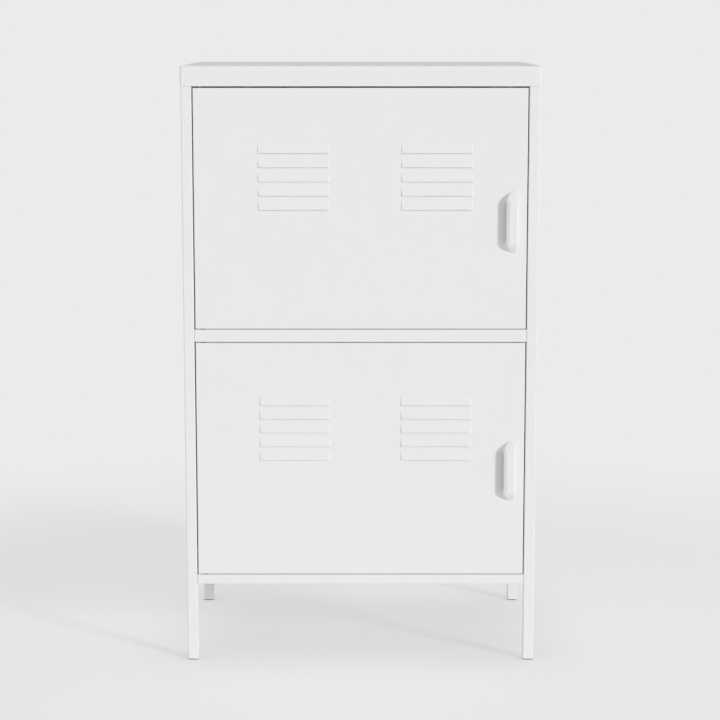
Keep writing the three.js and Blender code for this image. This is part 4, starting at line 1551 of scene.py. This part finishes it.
def floor_material(finishes):
    """Painted shade and real shadow round the cabinet, the backdrop's colour far from it, and pale to
    indirect light.
    """
    material = bpy.data.materials.new("Studio floor")
    material.use_nodes = True
    tree = material.node_tree
    tree.nodes.clear()
    place = object_place(tree)
    grain = spread(tree, noise(tree, place, FLOOR_GRAIN_SIZE, 3), *FLOOR_GRAIN)
    # Painted shade: an ambient-occlusion mask darkens the floor's colour and its glow under and round the
    # cabinet
    open_share = node(tree, "ShaderNodeAmbientOcclusion", {"Distance": PAINTED_SHADE_REACH}).outputs["AO"]
    painted_shade = math_node(tree, "MULTIPLY_ADD", open_share, PAINTED_SHADE_SHARE, 1 - PAINTED_SHADE_SHARE)
    tone = tinted(tree, tuple(finishes.floor), math_node(tree, "MULTIPLY", grain, painted_shade))
    glow = emission(tree, WHITE, math_node(tree, "MULTIPLY", painted_shade, finishes.floor_glow))
    around = added(tree, diffuse(tree, tone), glow)
    beyond = emission(tree, (*finishes.backdrop, 1), 1)
    distance = node(tree, "ShaderNodeVectorMath", {0: place}, operation="LENGTH").outputs["Value"]
    first, last = FLOOR_FADE
    links = {"Value": distance, "From Min": first, "From Max": last}
    fade = node(tree, "ShaderNodeMapRange", links, interpolation_type="SMOOTHSTEP").outputs[0]
    shown = mixed(tree, fade, around, beyond)
    returned = added(tree, diffuse(tree, RETURNED_COLOUR), emission(tree, WHITE, finishes.floor_lift))
    node(tree, "ShaderNodeOutputMaterial", {"Surface": mixed(tree, seen_ray(tree), returned, shown)})
    return material


def studio_world(finishes):
    """Soft light that changes with height, behind the backdrop's plain colour."""
    world = bpy.data.worlds.new("Studio")
    world.use_nodes = True
    tree = world.node_tree
    tree.nodes.clear()
    direction = node(tree, "ShaderNodeTexCoord").outputs["Generated"]
    height = node(tree, "ShaderNodeSeparateXYZ", {0: direction}).outputs["Z"]
    above = math_node(tree, "MAXIMUM", height, 0.0)
    strength = math_node(tree, "MULTIPLY_ADD", above, finishes.overhead, finishes.ambient)
    around = background(tree, WHITE, strength)
    behind = background(tree, (*finishes.backdrop, 1), 1)
    node(tree, "ShaderNodeOutputWorld", {"Surface": mixed(tree, seen_ray(tree), around, behind)})
    return world


class LOCKER_OT_stage(bpy.types.Operator):
    """Lay the floor, light the backdrop, hang the lamps and place the camera"""

    bl_idname = "locker.stage"
    bl_label = "Stage"

    def execute(self, context):
        finishes = context.scene.locker_finishes

        deselect()
        bpy.ops.mesh.primitive_circle_add(vertices=FLOOR_SIDES, radius=FLOOR_RADIUS, fill_type="NGON")
        floor = bpy.context.object
        floor.name = floor.data.name = "studio_floor"
        floor.data.materials.append(floor_material(finishes))

        context.scene.world = studio_world(finishes)
        lamp("Key lamp", *KEY_ANGLES, finishes.key_light)
        lamp("Fill lamp", *FILL_ANGLES, finishes.fill_light)

        deselect()
        bpy.ops.object.camera_add(location=CAMERA_PLACE, rotation=(math.pi / 2 - CAMERA_PITCH, 0, 0))
        camera = context.object
        camera.data.lens = LENS_MM
        camera.data.sensor_width = SENSOR_MM
        camera.data.shift_x = CAMERA_SHIFT
        context.scene.camera = camera
        context.scene.view_settings.view_transform = "Standard"
        return {"FINISHED"}


class LOCKER_PT_panel(bpy.types.Panel):
    """Sizes, finishes and steps of the locker cabinet"""

    bl_idname = "LOCKER_PT_panel"
    bl_label = "Locker Cabinet"
    bl_space_type = "VIEW_3D"
    bl_region_type = "UI"
    bl_category = "Locker"

    def draw(self, context):
        for group in (context.scene.locker_sizes, context.scene.locker_finishes):
            for name in group.__annotations__:
                self.layout.prop(group, name)
        for step in STEPS:
            self.layout.operator(step.bl_idname)


STEPS = (
    LOCKER_OT_door_skins,
    LOCKER_OT_handles,
    LOCKER_OT_posts,
    LOCKER_OT_foot_plugs,
    LOCKER_OT_cap,
    LOCKER_OT_screws,
    LOCKER_OT_pins,
    LOCKER_OT_buffers,
    LOCKER_OT_catches,
    LOCKER_OT_finishes,
    LOCKER_OT_stage,
)
CLASSES = (LockerSizes, LockerFinishes, *STEPS, LOCKER_PT_panel)


def register():
    for each in CLASSES:
        bpy.utils.register_class(each)
    bpy.types.Scene.locker_sizes = bpy.props.PointerProperty(type=LockerSizes)
    bpy.types.Scene.locker_finishes = bpy.props.PointerProperty(type=LockerFinishes)


def unregister():
    del bpy.types.Scene.locker_finishes
    del bpy.types.Scene.locker_sizes
    for each in reversed(CLASSES):
        bpy.utils.unregister_class(each)


def main():
    register()
    bpy.ops.locker.door_skins()
    bpy.ops.locker.handles()
    bpy.ops.locker.posts()
    bpy.ops.locker.foot_plugs()
    bpy.ops.locker.cap()
    bpy.ops.locker.screws()
    bpy.ops.locker.pins()
    bpy.ops.locker.buffers()
    bpy.ops.locker.catches()
    bpy.ops.locker.finishes()
    bpy.ops.locker.stage()


if __name__ == "__main__":
    main()
